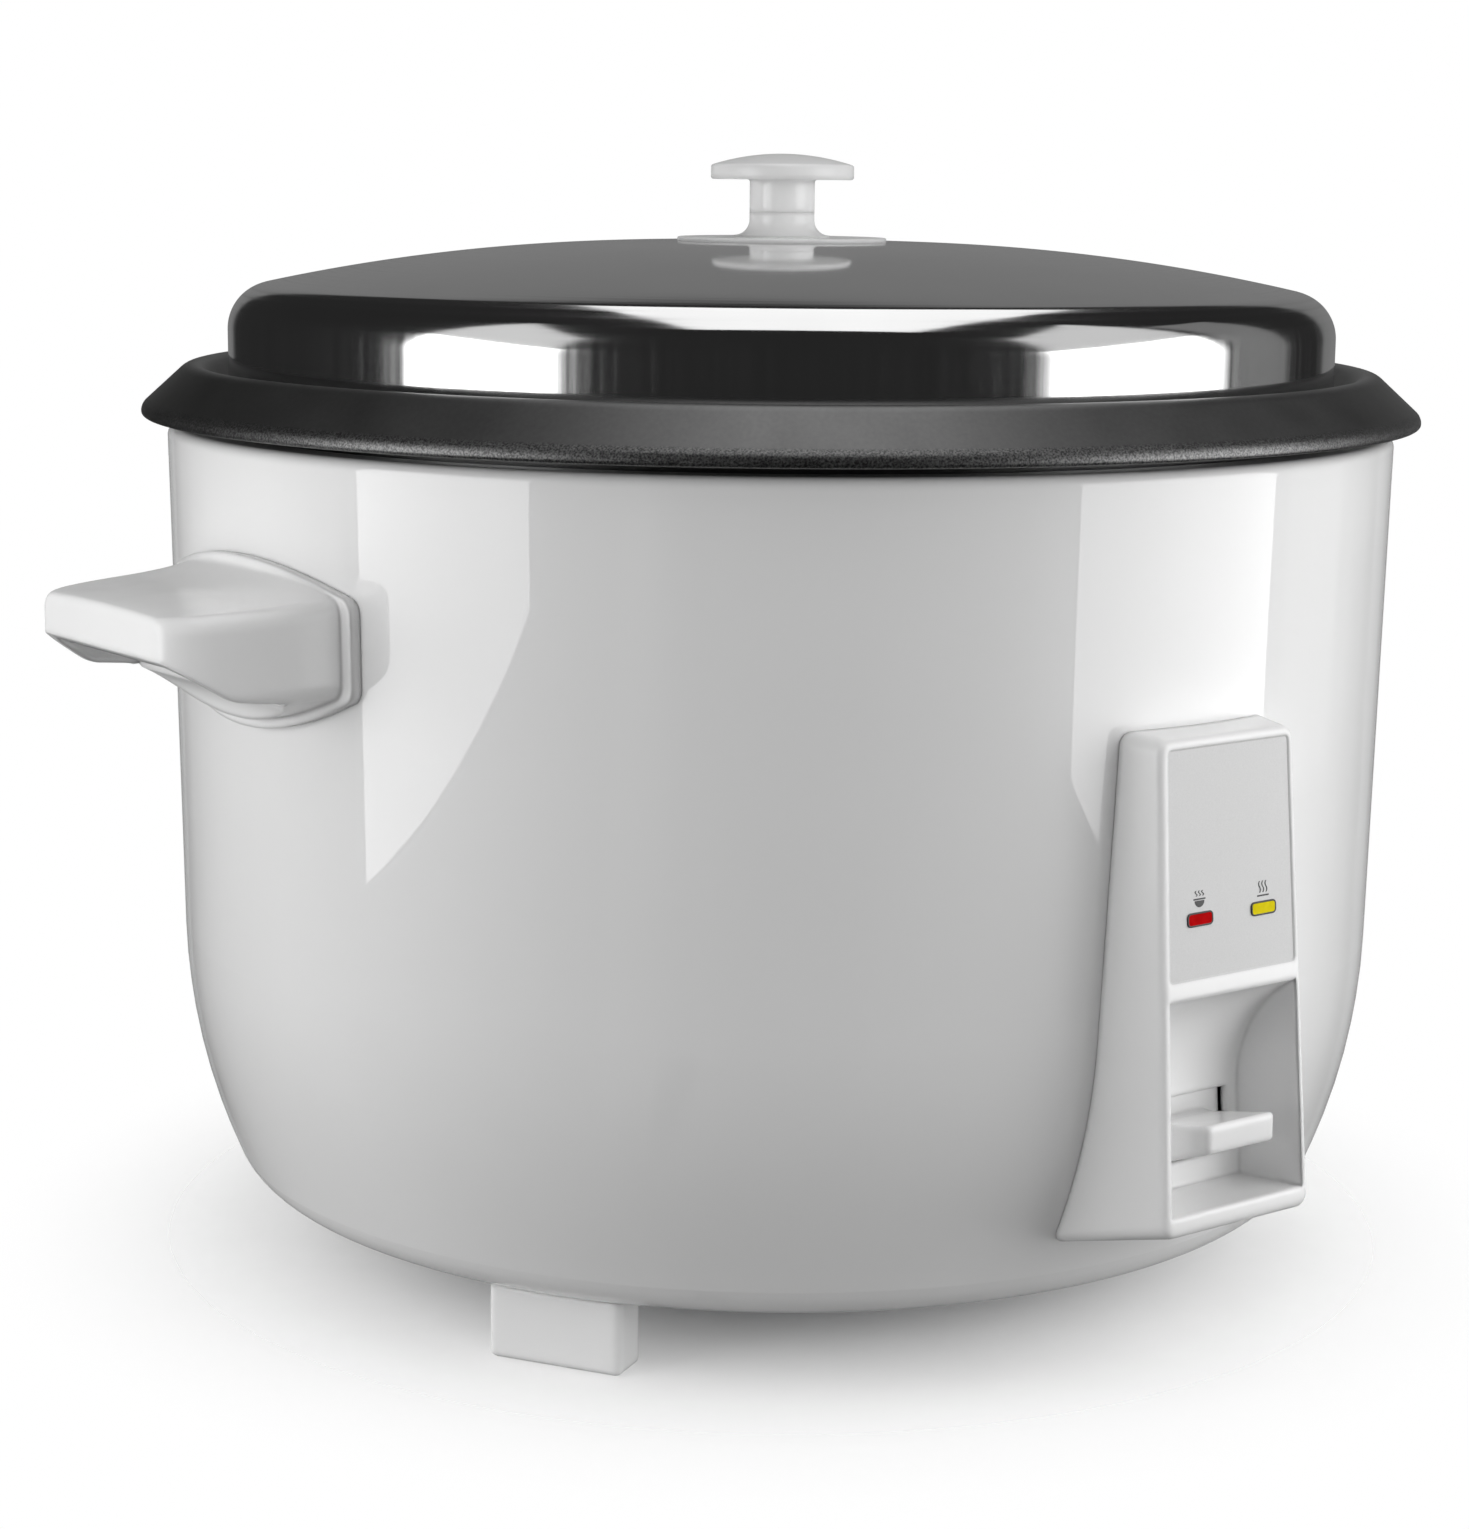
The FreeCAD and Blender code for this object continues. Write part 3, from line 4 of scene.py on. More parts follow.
import bmesh
import bpy
from mathutils import Matrix, Vector


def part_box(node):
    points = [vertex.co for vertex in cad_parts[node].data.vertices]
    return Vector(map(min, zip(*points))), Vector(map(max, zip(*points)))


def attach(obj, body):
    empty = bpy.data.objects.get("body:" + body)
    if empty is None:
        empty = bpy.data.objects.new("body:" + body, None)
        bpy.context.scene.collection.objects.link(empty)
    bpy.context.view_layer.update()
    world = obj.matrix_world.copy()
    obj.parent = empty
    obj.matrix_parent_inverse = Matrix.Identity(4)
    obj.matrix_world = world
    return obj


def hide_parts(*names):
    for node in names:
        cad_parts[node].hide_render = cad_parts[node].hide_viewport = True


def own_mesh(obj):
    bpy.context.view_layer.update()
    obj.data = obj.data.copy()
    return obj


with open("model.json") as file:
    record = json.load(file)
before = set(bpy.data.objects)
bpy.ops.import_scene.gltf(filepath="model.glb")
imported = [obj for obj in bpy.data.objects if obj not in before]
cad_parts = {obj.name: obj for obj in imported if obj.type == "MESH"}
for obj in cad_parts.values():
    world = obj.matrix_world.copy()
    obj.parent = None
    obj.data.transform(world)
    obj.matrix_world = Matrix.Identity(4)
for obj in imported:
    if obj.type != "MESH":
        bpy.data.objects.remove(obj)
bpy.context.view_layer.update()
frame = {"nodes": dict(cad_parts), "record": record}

# Camera, from the photograph's perspective: metres and degrees about the drum's axis
PHOTO_SIZE = (1469, 1529)
SENSOR = 36.0
FOCAL_PIXELS = 3213.5
CAMERA_DISTANCE = 1.06895
CAMERA_HEIGHT = 0.35329
CAMERA_PITCH = 10.48
CAMERA_YAW = -0.74
CAMERA_ROLL = 0.56
CAMERA_NEAR = 0.01
PANEL_AZIMUTH = 37.63

# Studio: the greys of the room and of the wall behind, the wall's direction and edge, and how the floor fades
ROOM_GREY = 0.025
WALL_GREY = 0.215
WALL_TOWARDS = (0.07, 0.996, -0.06)
WALL_EDGE = (0.858, 0.874)
FLOOR_R = 1.2
FLOOR_STEPS = 96
FLOOR_FADE = (0.08, 0.27)

# Side softboxes: two floor points in the camera's heading, the low edge and the radiance
LEFT_SOFTBOX = ((-0.635, -0.24), (-0.97, -1.10), 0.02, 3.5)
RIGHT_SOFTBOX = ((0.66, -0.04), (0.98, -0.81), -0.05, 3.2)

# Their upper part: where it starts and ends, its share that reflections show,
# and how much of the rest lights the object unseen
SOFTBOX_SPLIT = 0.60
SOFTBOX_TOP = 1.25
SOFTBOX_DIM = 0.26
SOFTBOX_UNSEEN = 0.8

# Card and fill lights: two floor points in the camera's heading, the low and high edges and the radiance
RIGHT_CARD = ((0.70, 0.02), (0.745, 0.30), 0.05, 0.9, 0.22)
FILLS = {
    "left_fill": ((-0.95, 0.65), (-1.25, -0.25), -0.22, 0.50, 2.6),
    "right_fill": ((0.95, 0.65), (1.20, 0.0), -0.15, 0.60, 1.6),
    "front_left_fill": ((-0.75, -1.45), (-1.35, -0.85), -0.20, 0.45, 1.6),
    "back_left_softbox": ((-0.50, 1.10), (-1.00, 0.55), 0.05, 1.0, 1.6),
    "back_right_softbox": ((0.50, 1.10), (1.00, 0.55), 0.05, 1.0, 1.6),
    "front_fill": ((1.30, -0.85), (0.55, -1.60), 0.10, 0.90, 1.9),
}

# Overhead softbox: its middle and half sides in the camera's heading, and the height that lights face
OVERHEAD_MIDDLE = (0.085, 0.30, 1.45)
OVERHEAD_HALF = (0.395, 0.95)
OVERHEAD_RADIANCE = 1.4
LAMP_TARGET = 0.20

# Values that most of a noise texture lies between
NOISE_LOW = 0.3
NOISE_HIGH = 0.7

# Pieces: faces that meet at more than this have a sharp edge; steps round a turn, a bend and a corner,
# and the short straight piece at each end of a bend
SHARP_TURN = math.radians(40)
TURN_STEPS = 240
BEND_STEPS = 12
CORNER_STEPS = 8
BEND_EASE = 0.0005

# Drum: its taper, and its lip's corner as radius, height and bend
# Skin over the lip: how far it reaches, and its faces just outside the sheet and within it
DRUM_TAPER = math.radians(0.88)
DRUM_LIP = (0.2, 0.2715, 0.0035)
DRUM_LIP_SKIN = 0.010
DRUM_LIP_DEPTHS = (0.00002, -0.0004)

# Pot: below these heights its rolled edge is sand-blasted, and its wall shows the spinning lines
BLAST_TOP = 0.2798
SPUN_TOP = 0.2735

# Pot: its sheet, and the corners of its inner face as radius, height and bend
POT_SHEET = 0.0024
POT_MIDDLE_R = 0.004
POT_FLOOR_Z = 0.1087
POT_FLOOR_R = 0.1712
POT_WALL_LEAN = 2.0 / 175.0
POT_CORNERS = ((POT_FLOOR_R, POT_FLOOR_Z, 0.026), (0.1732, 0.2837, 0.003), (0.1836, 0.2837, 0.003),
               (0.1904, 0.2938, 0.006), (0.2082, 0.2776, 0.004))
POT_LIP_Z = 0.2746

# Lid: the height under which its skirt is brushed upright, its sheet's sizes, and the steps along it
SKIRT_TOP = 0.306
LID_R = 0.1803
LID_HOLE_R = 0.0023
LID_LAND_R = 0.0360
LID_LAND_Z = 0.3304
LID_EDGE_Z = 0.2840
LID_DOME_R = 0.620
LID_SHOULDER_R = 0.015
LID_SHEET = 0.0008
LID_DOME_STEPS = 40
LID_SHOULDER_STEPS = 32
LID_SKIRT_STEPS = 6

# Sensor spring: its coil and wire, its turns, and the steps along and round its wire
SPRING_R = 0.0150
SPRING_WIRE_R = 0.0008
SPRING_TURNS = 5
SPRING_TURN_STEPS = 36
SPRING_WIRE_STEPS = 12

# Level marks on the pot's inner wall: their litres, the lines' length and width, the figures' height,
# the relief, the steps along a line, and a litre in cubic metres
LEVEL_LITRES = (2, 4, 6, 8, 10, 12)
LEVEL_LINE = (0.014, 0.0012)
LEVEL_DIGITS = 0.008
LEVEL_PROUD = 0.0003
LEVEL_STEPS = 8
LITRE = 0.001

# Control panel: its foot, its tilt, its height and half widths along its face
PANEL_FOOT = Vector((0, -0.222356, 0.055))
PANEL_TILT = math.radians(4.59)
PANEL_V = 0.14246
PANEL_HALF_BOTTOM = 0.0291
PANEL_HALF_TOP = 0.0265

# Label on the panel's face: its depth, its margins and the soft step round it
LABEL_W = -0.0003
LABEL_MARGIN = 0.0024
LABEL_BOTTOM_V = 0.0735
LABEL_CORNER_R = 0.0015
LABEL_EDGE_WIDTH = 0.0005
LABEL_EDGE_PROUD = 0.00002

# Lamps on the label: their places, the windows' size, and the frames round them
LAMP_U = 0.01275
LAMP_V = 0.0908
LAMP_SIZE = (0.0092, 0.0032)
LAMP_CORNER_R = 0.0009
BEZEL_WIDTH = 0.00045
BEZEL_PROUD = 0.00010

# Signs over the lamps: their foot and ink, the bowl, half the bars' length, and the waves
SIGN_V = 0.0942
SIGN_PROUD = 0.00006
SIGN_LINE = 0.00045
BOWL_R = 0.0019
BOWL_ENDS = (math.radians(188), math.radians(352))
BOWL_STEPS = 20
BAR_HALF = 1.25 * BOWL_R
WAVE_GAP = 0.0013
WAVE_SWAY = 0.00035
WAVE_STEPS = 16

# Low and high ends of the waves, over the bowl's rim and over the plate
STEAM = (0.0013, 0.0029)
HEAT = (0.0011, 0.0045)


def turn(x, y, z):
    """From the camera's own heading to the frame's axes, about the drum's axis."""
    a = math.radians(PANEL_AZIMUTH)
    return Vector((x * math.cos(a) + y * math.sin(a), -x * math.sin(a) + y * math.cos(a), z))


def add_camera():
    """Camera at the photograph's angle."""
    pitch, yaw, roll = (math.radians(d) for d in (CAMERA_PITCH, CAMERA_YAW, CAMERA_ROLL))
    ahead = Vector((math.sin(yaw) * math.cos(pitch), math.cos(yaw) * math.cos(pitch), -math.sin(pitch)))
    right = Vector((math.cos(yaw), -math.sin(yaw), 0))
    above = right.cross(ahead)
    side = turn(*(right * math.cos(roll) + above * math.sin(roll)))
    top = turn(*(above * math.cos(roll) - right * math.sin(roll)))
    back = -turn(*ahead)
    data = bpy.data.cameras.new("photo_camera")
    data.sensor_width = SENSOR
    data.lens = FOCAL_PIXELS * SENSOR / max(PHOTO_SIZE)
    data.clip_start = CAMERA_NEAR
    camera = bpy.data.objects.new("photo_camera", data)
    camera.matrix_world = Matrix((side, top, back)).transposed().to_4x4()
    camera.location = turn(0, -CAMERA_DISTANCE, CAMERA_HEIGHT)
    bpy.context.scene.collection.objects.link(camera)
    bpy.context.scene.camera = camera


# Materials

class Shader:
    """A node material with short ways to add procedural detail."""

    def __init__(self, name, **values):
        """A material of this name, with fixed values for the surface's sockets."""
        self.material = bpy.data.materials.new(name)
        self.material.use_nodes = True
        self.tree = self.material.node_tree
        self.surface = self.tree.nodes["Principled BSDF"]
        for key, value in values.items():
            self.surface.inputs[key.replace("_", " ")].default_value = value
        self.place = self.tree.nodes.new("ShaderNodeTexCoord").outputs["Object"]

    def link(self, out, socket):
        """Link from an output to an input."""
        self.tree.links.new(out, socket)

    def noise(self, scale, detail=2.0, stretch=None):
        """Noise over the object's own coordinates, in cells per metre."""
        node = self.tree.nodes.new("ShaderNodeTexNoise")
        node.inputs["Scale"].default_value = scale
        node.inputs["Detail"].default_value = detail
        where = self.place
        if stretch:
            mapping = self.tree.nodes.new("ShaderNodeMapping")
            mapping.inputs["Scale"].default_value = stretch
            self.link(self.place, mapping.inputs["Vector"])
            where = mapping.outputs["Vector"]
        self.link(where, node.inputs["Vector"])
        return node.outputs["Fac"]

    def vector_math(self, operation, first, second=None, third=None):
        """Vector operation on linked outputs or fixed triples."""
        node = self.tree.nodes.new("ShaderNodeVectorMath")
        node.operation = operation
        for socket, value in zip(node.inputs, (first, second, third)):
            if isinstance(value, tuple):
                socket.default_value = value
            elif value is not None:
                self.link(value, socket)
        return node.outputs

    def streaks(self, around, along):
        """Noise round the upright axis: long streaks where around is much more than along."""
        flat = self.vector_math("MULTIPLY", self.place, (1, 1, 0))["Vector"]
        unit = self.vector_math("NORMALIZE", flat)["Vector"]
        height = self.vector_math("MULTIPLY", self.place, (0, 0, along))["Vector"]
        where = self.vector_math("MULTIPLY_ADD", unit, (around, around, 0), height)["Vector"]
        node = self.tree.nodes.new("ShaderNodeTexNoise")
        node.inputs["Scale"].default_value = 1
        node.inputs["Detail"].default_value = 3
        self.link(where, node.inputs["Vector"])
        return node.outputs["Fac"]

    def rings(self, scale):
        """Noise by the distance from the upright axis, as a turning tool leaves it."""
        flat = self.vector_math("MULTIPLY", self.place, (1, 1, 0))["Vector"]
        node = self.tree.nodes.new("ShaderNodeTexNoise")
        node.noise_dimensions = "1D"
        node.inputs["Scale"].default_value = scale
        node.inputs["Detail"].default_value = 4
        self.link(self.vector_math("LENGTH", flat)["Value"], node.inputs["W"])
        return node.outputs["Fac"]

    def fall(self, source, start, end):
        """1 up to the start, 0 from the end on, and a soft step between them."""
        node = self.tree.nodes.new("ShaderNodeMapRange")
        node.interpolation_type = "SMOOTHSTEP"
        node.inputs["From Min"].default_value = start
        node.inputs["From Max"].default_value = end
        node.inputs["To Min"].default_value = 1
        node.inputs["To Max"].default_value = 0
        self.link(source, node.inputs["Value"])
        return node.outputs["Result"]

    def below(self, height, blur):
        """1 under the given height, 0 over it."""
        parts = self.tree.nodes.new("ShaderNodeSeparateXYZ")
        self.link(self.place, parts.inputs[0])
        return self.fall(parts.outputs["Z"], height - blur, height + blur)

    def mix(self, mask, first, second, kind="FLOAT"):
        """First where the mask is 0, second where it is 1."""
        node = self.tree.nodes.new("ShaderNodeMix")
        node.data_type = kind
        sockets = [i for i in node.inputs if i.enabled]
        for socket, out in zip(sockets, (mask, first, second)):
            self.link(out, socket)
        return next(o for o in node.outputs if o.enabled)

    def rounded(self, radius):
        """Normals that roll over the edges within the radius."""
        node = self.tree.nodes.new("ShaderNodeBevel")
        node.samples = 8
        node.inputs["Radius"].default_value = radius
        return node.outputs["Normal"]

    def ramp(self, source, low, high, start=NOISE_LOW, end=NOISE_HIGH):
        """Colours from low to high as the source goes from start to end."""
        node = self.tree.nodes.new("ShaderNodeValToRGB")
        for element, at, colour in zip(node.color_ramp.elements, (start, end), (low, high)):
            element.position = at
            element.color = (*colour, 1)
        self.link(source, node.inputs["Fac"])
        return node.outputs["Color"]

    def span(self, source, low, high):
        """A noise's usual values stretched over low to high."""
        node = self.tree.nodes.new("ShaderNodeMapRange")
        node.clamp = False
        node.inputs["From Min"].default_value = NOISE_LOW
        node.inputs["From Max"].default_value = NOISE_HIGH
        node.inputs["To Min"].default_value = low
        node.inputs["To Max"].default_value = high
        self.link(source, node.inputs["Value"])
        return node.outputs["Result"]

    def colour(self, out):
        """Base colour from an output."""
        self.link(out, self.surface.inputs["Base Color"])
        return self

    def rough(self, out):
        """Roughness from an output."""
        self.link(out, self.surface.inputs["Roughness"])
        return self

    def bump(self, out, strength, depth, base=None, coat=False):
        """Relief in metres from an output, over the base normal and also on the coat if asked."""
        node = self.tree.nodes.new("ShaderNodeBump")
        node.inputs["Strength"].default_value = strength
        node.inputs["Distance"].default_value = depth
        self.link(out, node.inputs["Height"])
        if base:
            self.link(base, node.inputs["Normal"])
        self.link(node.outputs["Normal"], self.surface.inputs["Normal"])
        if coat:
            self.link(node.outputs["Normal"], self.surface.inputs["Coat Normal"])
        return self


def grey(level):
    """Colour with the same level in each channel."""
    return (level, level, level)


def enamel():
    """White paint under a clear, nearly even gloss."""
    m = Shader("white_enamel", Coat_Weight=1.0, Coat_Roughness=0.02, Specular_IOR_Level=0.2)
    m.colour(m.ramp(m.noise(9, 3), grey(0.79), grey(0.81)))
    m.rough(m.span(m.noise(40, 3), 0.45, 0.55))
    return m.bump(m.noise(300, 1), 0.02, 0.0001, coat=True).material


def gloss_plastic():
    """White moulded plastic with softened edges."""
    m = Shader("white_plastic", Specular_IOR_Level=0.5)
    m.colour(m.ramp(m.noise(18, 2), grey(0.85), grey(0.87)))
    m.rough(m.span(m.noise(60, 2), 0.20, 0.24))
    return m.bump(m.noise(2600, 1), 0.01, 0.0001, base=m.rounded(0.0028)).material


def label_film():
    """Pale grey printed film with a fine grain."""
    m = Shader("label_film")
    m.colour(m.ramp(m.noise(2500, 2), grey(0.60), grey(0.64)))
    m.rough(m.span(m.noise(900, 2), 0.42, 0.55))
    return m.bump(m.noise(3000, 2), 0.05, 0.0001).material


def lens(name, dark, bright):
    """Dull coloured cover of a lamp."""
    m = Shader(name, Specular_IOR_Level=0.015)
    m.colour(m.ramp(m.noise(400, 2), dark, bright))
    m.rough(m.span(m.noise(700, 2), 0.45, 0.55))
    return m.bump(m.noise(900, 1), 0.05, 0.0002).material


def pot_metal():
    """Dark anodised aluminium: a smooth rim, its sand-blasted edge, and a wall with spinning lines."""
    m = Shader("pot_aluminium", Metallic=1.0)
    blasted = m.below(BLAST_TOP, 0.0006)
    wall = m.below(SPUN_TOP, 0.0004)
    smooth = m.ramp(m.noise(700, 3), grey(0.155), grey(0.170))
    sand = m.ramp(m.noise(1700, 2), grey(0.07), grey(0.26), 0.35, 0.72)
    lines = m.noise(1, 4, stretch=(20, 20, 1400))
    spun = m.ramp(lines, grey(0.19), grey(0.27))
    m.colour(m.mix(wall, m.mix(blasted, smooth, sand, "RGBA"), spun, "RGBA"))
    edge_rough = m.mix(blasted, m.span(m.noise(60, 3), 0.41, 0.46), m.span(m.noise(1700, 2), 0.38, 0.52))
    m.rough(m.mix(wall, edge_rough, m.span(lines, 0.30, 0.44)))
    edge_grain = m.mix(blasted, m.span(m.noise(60, 3), 0.48, 0.50), m.noise(1700, 2))
    return m.bump(m.mix(wall, edge_grain, lines), 0.08, 0.0002).material


def polished_steel():
    """Mirror steel, brushed lightly upright on the skirt and in rings on the dome."""
    m = Shader("polished_steel", Metallic=1.0, Anisotropic=0.75)
    around = m.tree.nodes.new("ShaderNodeTangent")
    around.direction_type = "RADIAL"
    around.axis = "Z"
    m.link(around.outputs["Tangent"], m.surface.inputs["Tangent"])
    skirt = m.below(SKIRT_TOP, 0.003)
    m.colour(m.ramp(m.noise(25, 3), grey(0.62), grey(0.66)))
    brushed = m.mix(skirt, m.rings(700), m.streaks(60, 4))
    m.rough(m.span(brushed, 0.07, 0.13))
    return m.bump(brushed, 0.10, 0.0001).material


def plain_metal(name, low, high, rough):
    """Metal with an even grain."""
    m = Shader(name, Metallic=1.0)
    m.colour(m.ramp(m.noise(300, 3), low, high))
    m.rough(m.span(m.noise(500, 3), rough - 0.06, rough + 0.06))
    return m.bump(m.noise(1500, 2), 0.1, 0.0002).material


def turned_metal(name, low, high, rough):
    """Metal faced on a lathe, with the tool's rings about the upright axis."""
    m = Shader(name, Metallic=1.0)
    m.colour(m.ramp(m.noise(90, 4), low, high))
    m.rough(m.span(m.rings(1200), rough - 0.08, rough + 0.08))
    return m.bump(m.rings(2400), 0.25, 0.0002).material


def dull_solid(name, low, high, rough):
    """Plastic or ceramic with an even grain."""
    m = Shader(name)
    m.colour(m.ramp(m.noise(400, 3), low, high))
    m.rough(m.span(m.noise(800, 2), rough - 0.06, rough + 0.06))
    return m.bump(m.noise(1800, 2), 0.1, 0.0002).material


def slot_materials():
    """Material for each material slot in the record."""
    return {
        "white_paint": enamel(),
        "white_plastic": gloss_plastic(),
        "label_grey": label_film(),
        "red_lens": lens("red_lens", (0.42, 0.000, 0.001), (0.50, 0.001, 0.002)),
        "amber_lens": lens("amber_lens", (0.68, 0.56, 0.006), (0.76, 0.64, 0.012)),
        "lamp_glass": lens("lamp_glass", (0.50, 0.42, 0.36), (0.60, 0.50, 0.42)),
        "pot_aluminium": pot_metal(),
        "lid_steel": polished_steel(),
        "cast_aluminium": turned_metal("cast_aluminium", grey(0.48), grey(0.60), 0.38),
        "plain_steel": plain_metal("plain_steel", grey(0.48), grey(0.58), 0.28),
        "coated_steel": plain_metal("coated_steel", (0.44, 0.45, 0.46), (0.54, 0.55, 0.56), 0.40),
        "black_plastic": dull_solid("black_plastic", grey(0.018), grey(0.030), 0.45),
        "brass": plain_metal("brass", (0.60, 0.46, 0.22), (0.70, 0.55, 0.28), 0.25),
        "ferrite": dull_solid("ferrite", grey(0.045), grey(0.075), 0.60),
    }


def dress_nodes(materials):
    """Each node's mesh gets the material of its slot."""
    for part in frame["record"]["subparts"]:
        mesh = frame["nodes"][part["node"]].data
        mesh.materials.clear()
        mesh.materials.append(materials[part["material_slot"]])


# Pieces

def new_piece(name, bm, body, material):
    """Object from a bmesh that rides on a body, with its edges kept sharp where its faces turn."""
    bmesh.ops.recalc_face_normals(bm, faces=bm.faces)
    mesh = bpy.data.meshes.new(name)
    bm.to_mesh(mesh)
    bm.free()
    mesh.set_sharp_from_angle(angle=SHARP_TURN)
    mesh.materials.append(material)
    piece = bpy.data.objects.new(name, mesh)
    bpy.context.scene.collection.objects.link(piece)
    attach(piece, body)
    return piece


def smooth(bm):
    """Smooth shading on the faces made so far."""
    for face in bm.faces:
        face.smooth = True


def join_rings(bm, rings, closed):
    """Quads between neighbouring rings of vertices, and from the last to the first if closed."""
    pairs = list(zip(rings, rings[1:]))
    if closed:
        pairs.append((rings[-1], rings[0]))
    for one, two in pairs:
        for i in range(len(one)):
            j = (i + 1) % len(one)
            bm.faces.new((one[i], one[j], two[j], two[i]))


def arc(centre, radius, start, end, count):
    """Points round a centre from one angle to another."""
    for i in range(count + 1):
        a = start + (end - start) * i / count
        yield (centre[0] + radius * math.cos(a), centre[1] + radius * math.sin(a))


def lid_profile(inset):
    """Radius and height along the lid's sheet, from the hole to the edge, at a depth inside its face."""
    dome_z = LID_LAND_Z - LID_DOME_R
    centre_r = LID_R - LID_SHOULDER_R
    run = centre_r - LID_LAND_R
    centre_z = dome_z + math.sqrt((LID_DOME_R - LID_SHOULDER_R) ** 2 - run ** 2)
    meet = math.atan2(centre_z - dome_z, run)
    points = [(LID_HOLE_R, LID_LAND_Z - inset)]
    points += arc((LID_LAND_R, dome_z), LID_DOME_R - inset, math.pi / 2, meet, LID_DOME_STEPS)
    shoulder = list(arc((centre_r, centre_z), LID_SHOULDER_R - inset, meet, 0, LID_SHOULDER_STEPS))
    points += shoulder[1:]
    for i in range(1, LID_SKIRT_STEPS + 1):
        points.append((LID_R - inset, centre_z + (LID_EDGE_Z - centre_z) * i / LID_SKIRT_STEPS))
    return points


def lathe(bm, profile, closed):
    """Smooth surface of a profile turned about the upright axis in fine steps."""
    rings = []
    for r, z in profile:
        turns = (2 * math.pi * i / TURN_STEPS for i in range(TURN_STEPS))
        rings.append([bm.verts.new((r * math.cos(t), r * math.sin(t), z)) for t in turns])
    join_rings(bm, rings, closed)
    smooth(bm)
    return rings


def add_lid(steel):
    """The lid's sheet turned in fine steps, so that its mirror finish shows no facets."""
    bm = bmesh.new()
    outside = lid_profile(0)
    inside = lid_profile(LID_SHEET)
    edge = [(LID_R - LID_SHEET / 2, LID_EDGE_Z - LID_SHEET / 4)]
    lathe(bm, outside + edge + inside[::-1], closed=True)
    piece = new_piece("lid_sheet", bm, "lid", steel)
    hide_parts("lid")


def to_right(direction):
    """Direction a quarter turn clockwise from a flat one."""
    return Vector((direction.y, -direction.x))


def bent_line(first, bends, last, offset):
    """Radius and height along a line with rounded corners, moved to its right by an offset."""
    stops = [Vector(first)] + [Vector((r, z)) for r, z, bend in bends] + [Vector(last)]
    radii = [bend for r, z, bend in bends]
    quarter = math.pi / 2
    points = [stops[0] + offset * to_right((stops[1] - stops[0]).normalized())]
    for before, corner, after, radius in zip(stops, stops[1:], stops[2:], radii):
        ahead, onward = (corner - before).normalized(), (after - corner).normalized()
        start, end = math.atan2(ahead.y, ahead.x), math.atan2(onward.y, onward.x)
        side = math.copysign(1, end - start)
        reach = radius * math.tan(abs(end - start) / 2)
        centre = corner - reach * ahead - side * radius * to_right(ahead)
        turned = arc(centre, side * radius + offset, start - quarter, end - quarter, BEND_STEPS)
        rounding = [Vector(point) for point in turned]
        points += [rounding[0] - BEND_EASE * ahead, *rounding, rounding[-1] + BEND_EASE * onward]
    points.append(stops[-1] + offset * to_right((stops[-1] - stops[-2]).normalized()))
    return points


def pot_profile(offset):
    """The pot's sheet from its middle to the bend over its lip, at a depth under its inner face."""
    middle = (POT_MIDDLE_R, POT_FLOOR_Z)
    lip = (POT_CORNERS[-1][0], POT_LIP_Z)
    # The two points after the last bend give way to the rounded lip
    return bent_line(middle, POT_CORNERS, lip, offset)[:-2]


def add_drum_lip(paint):
    """Skin over the drum's rolled lip, turned in fine steps, so that its gloss shows no facets."""
    bm = bmesh.new()
    corner_r, corner_z = DRUM_LIP[:2]
    low = (corner_r - DRUM_LIP_SKIN * math.tan(DRUM_TAPER), corner_z - DRUM_LIP_SKIN)
    end = (corner_r - DRUM_LIP_SKIN, corner_z)
    faces = [bent_line(low, (DRUM_LIP,), end, offset) for offset in DRUM_LIP_DEPTHS]
    lathe(bm, faces[0] + faces[1][::-1], closed=True)
    new_piece("drum_lip", bm, "base", paint)


def add_pot(aluminium):
    """The pot's sheet turned in fine steps, with a rounded lip."""
    bm = bmesh.new()
    half = POT_SHEET / 2
    lip = list(arc((POT_CORNERS[-1][0] - half, POT_LIP_Z + half), half, 0, -math.pi, CORNER_STEPS))
    rings = lathe(bm, pot_profile(0) + lip[1:-1] + pot_profile(POT_SHEET)[::-1], closed=False)
    bm.faces.new(rings[0])
    bm.faces.new(rings[-1])
    piece = new_piece("pot_sheet", bm, "pot", aluminium)
    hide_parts("inner_pot")


def add_spring(material):
    """Coil under the sensor, as tall as the sensor spring of the CAD part."""
    low, high = (corner[2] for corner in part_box("sensor_spring"))
    rise = high - low - 2 * SPRING_WIRE_R
    steps = SPRING_TURN_STEPS * SPRING_TURNS
    bm = bmesh.new()
    rings = []
    for i in range(steps + 1):
        t = 2 * math.pi * SPRING_TURNS * i / steps
        outward = Vector((math.cos(t), math.sin(t), 0))
        middle = SPRING_R * outward + Vector((0, 0, low + SPRING_WIRE_R + rise * i / steps))
        turns = (2 * math.pi * j / SPRING_WIRE_STEPS for j in range(SPRING_WIRE_STEPS))
        wire = (math.cos(a) * outward + math.sin(a) * Vector((0, 0, 1)) for a in turns)
        rings.append([bm.verts.new(middle + SPRING_WIRE_R * side) for side in wire])
    join_rings(bm, rings, closed=False)
    smooth(bm)
    bm.faces.new(rings[0])
    bm.faces.new(rings[-1])
    piece = new_piece("sensor_coil", bm, "base", material)
    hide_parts("sensor_spring")
    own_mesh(piece)


def on_pot_wall(x, z, proud):
    """Point on the pot's inner wall opposite the panel, x to the right as seen from within."""
    r = POT_FLOOR_R + (z - POT_FLOOR_Z) * POT_WALL_LEAN
    a = math.pi / 2 - x / r
    return Vector(((r - proud) * math.cos(a), (r - proud) * math.sin(a), z))


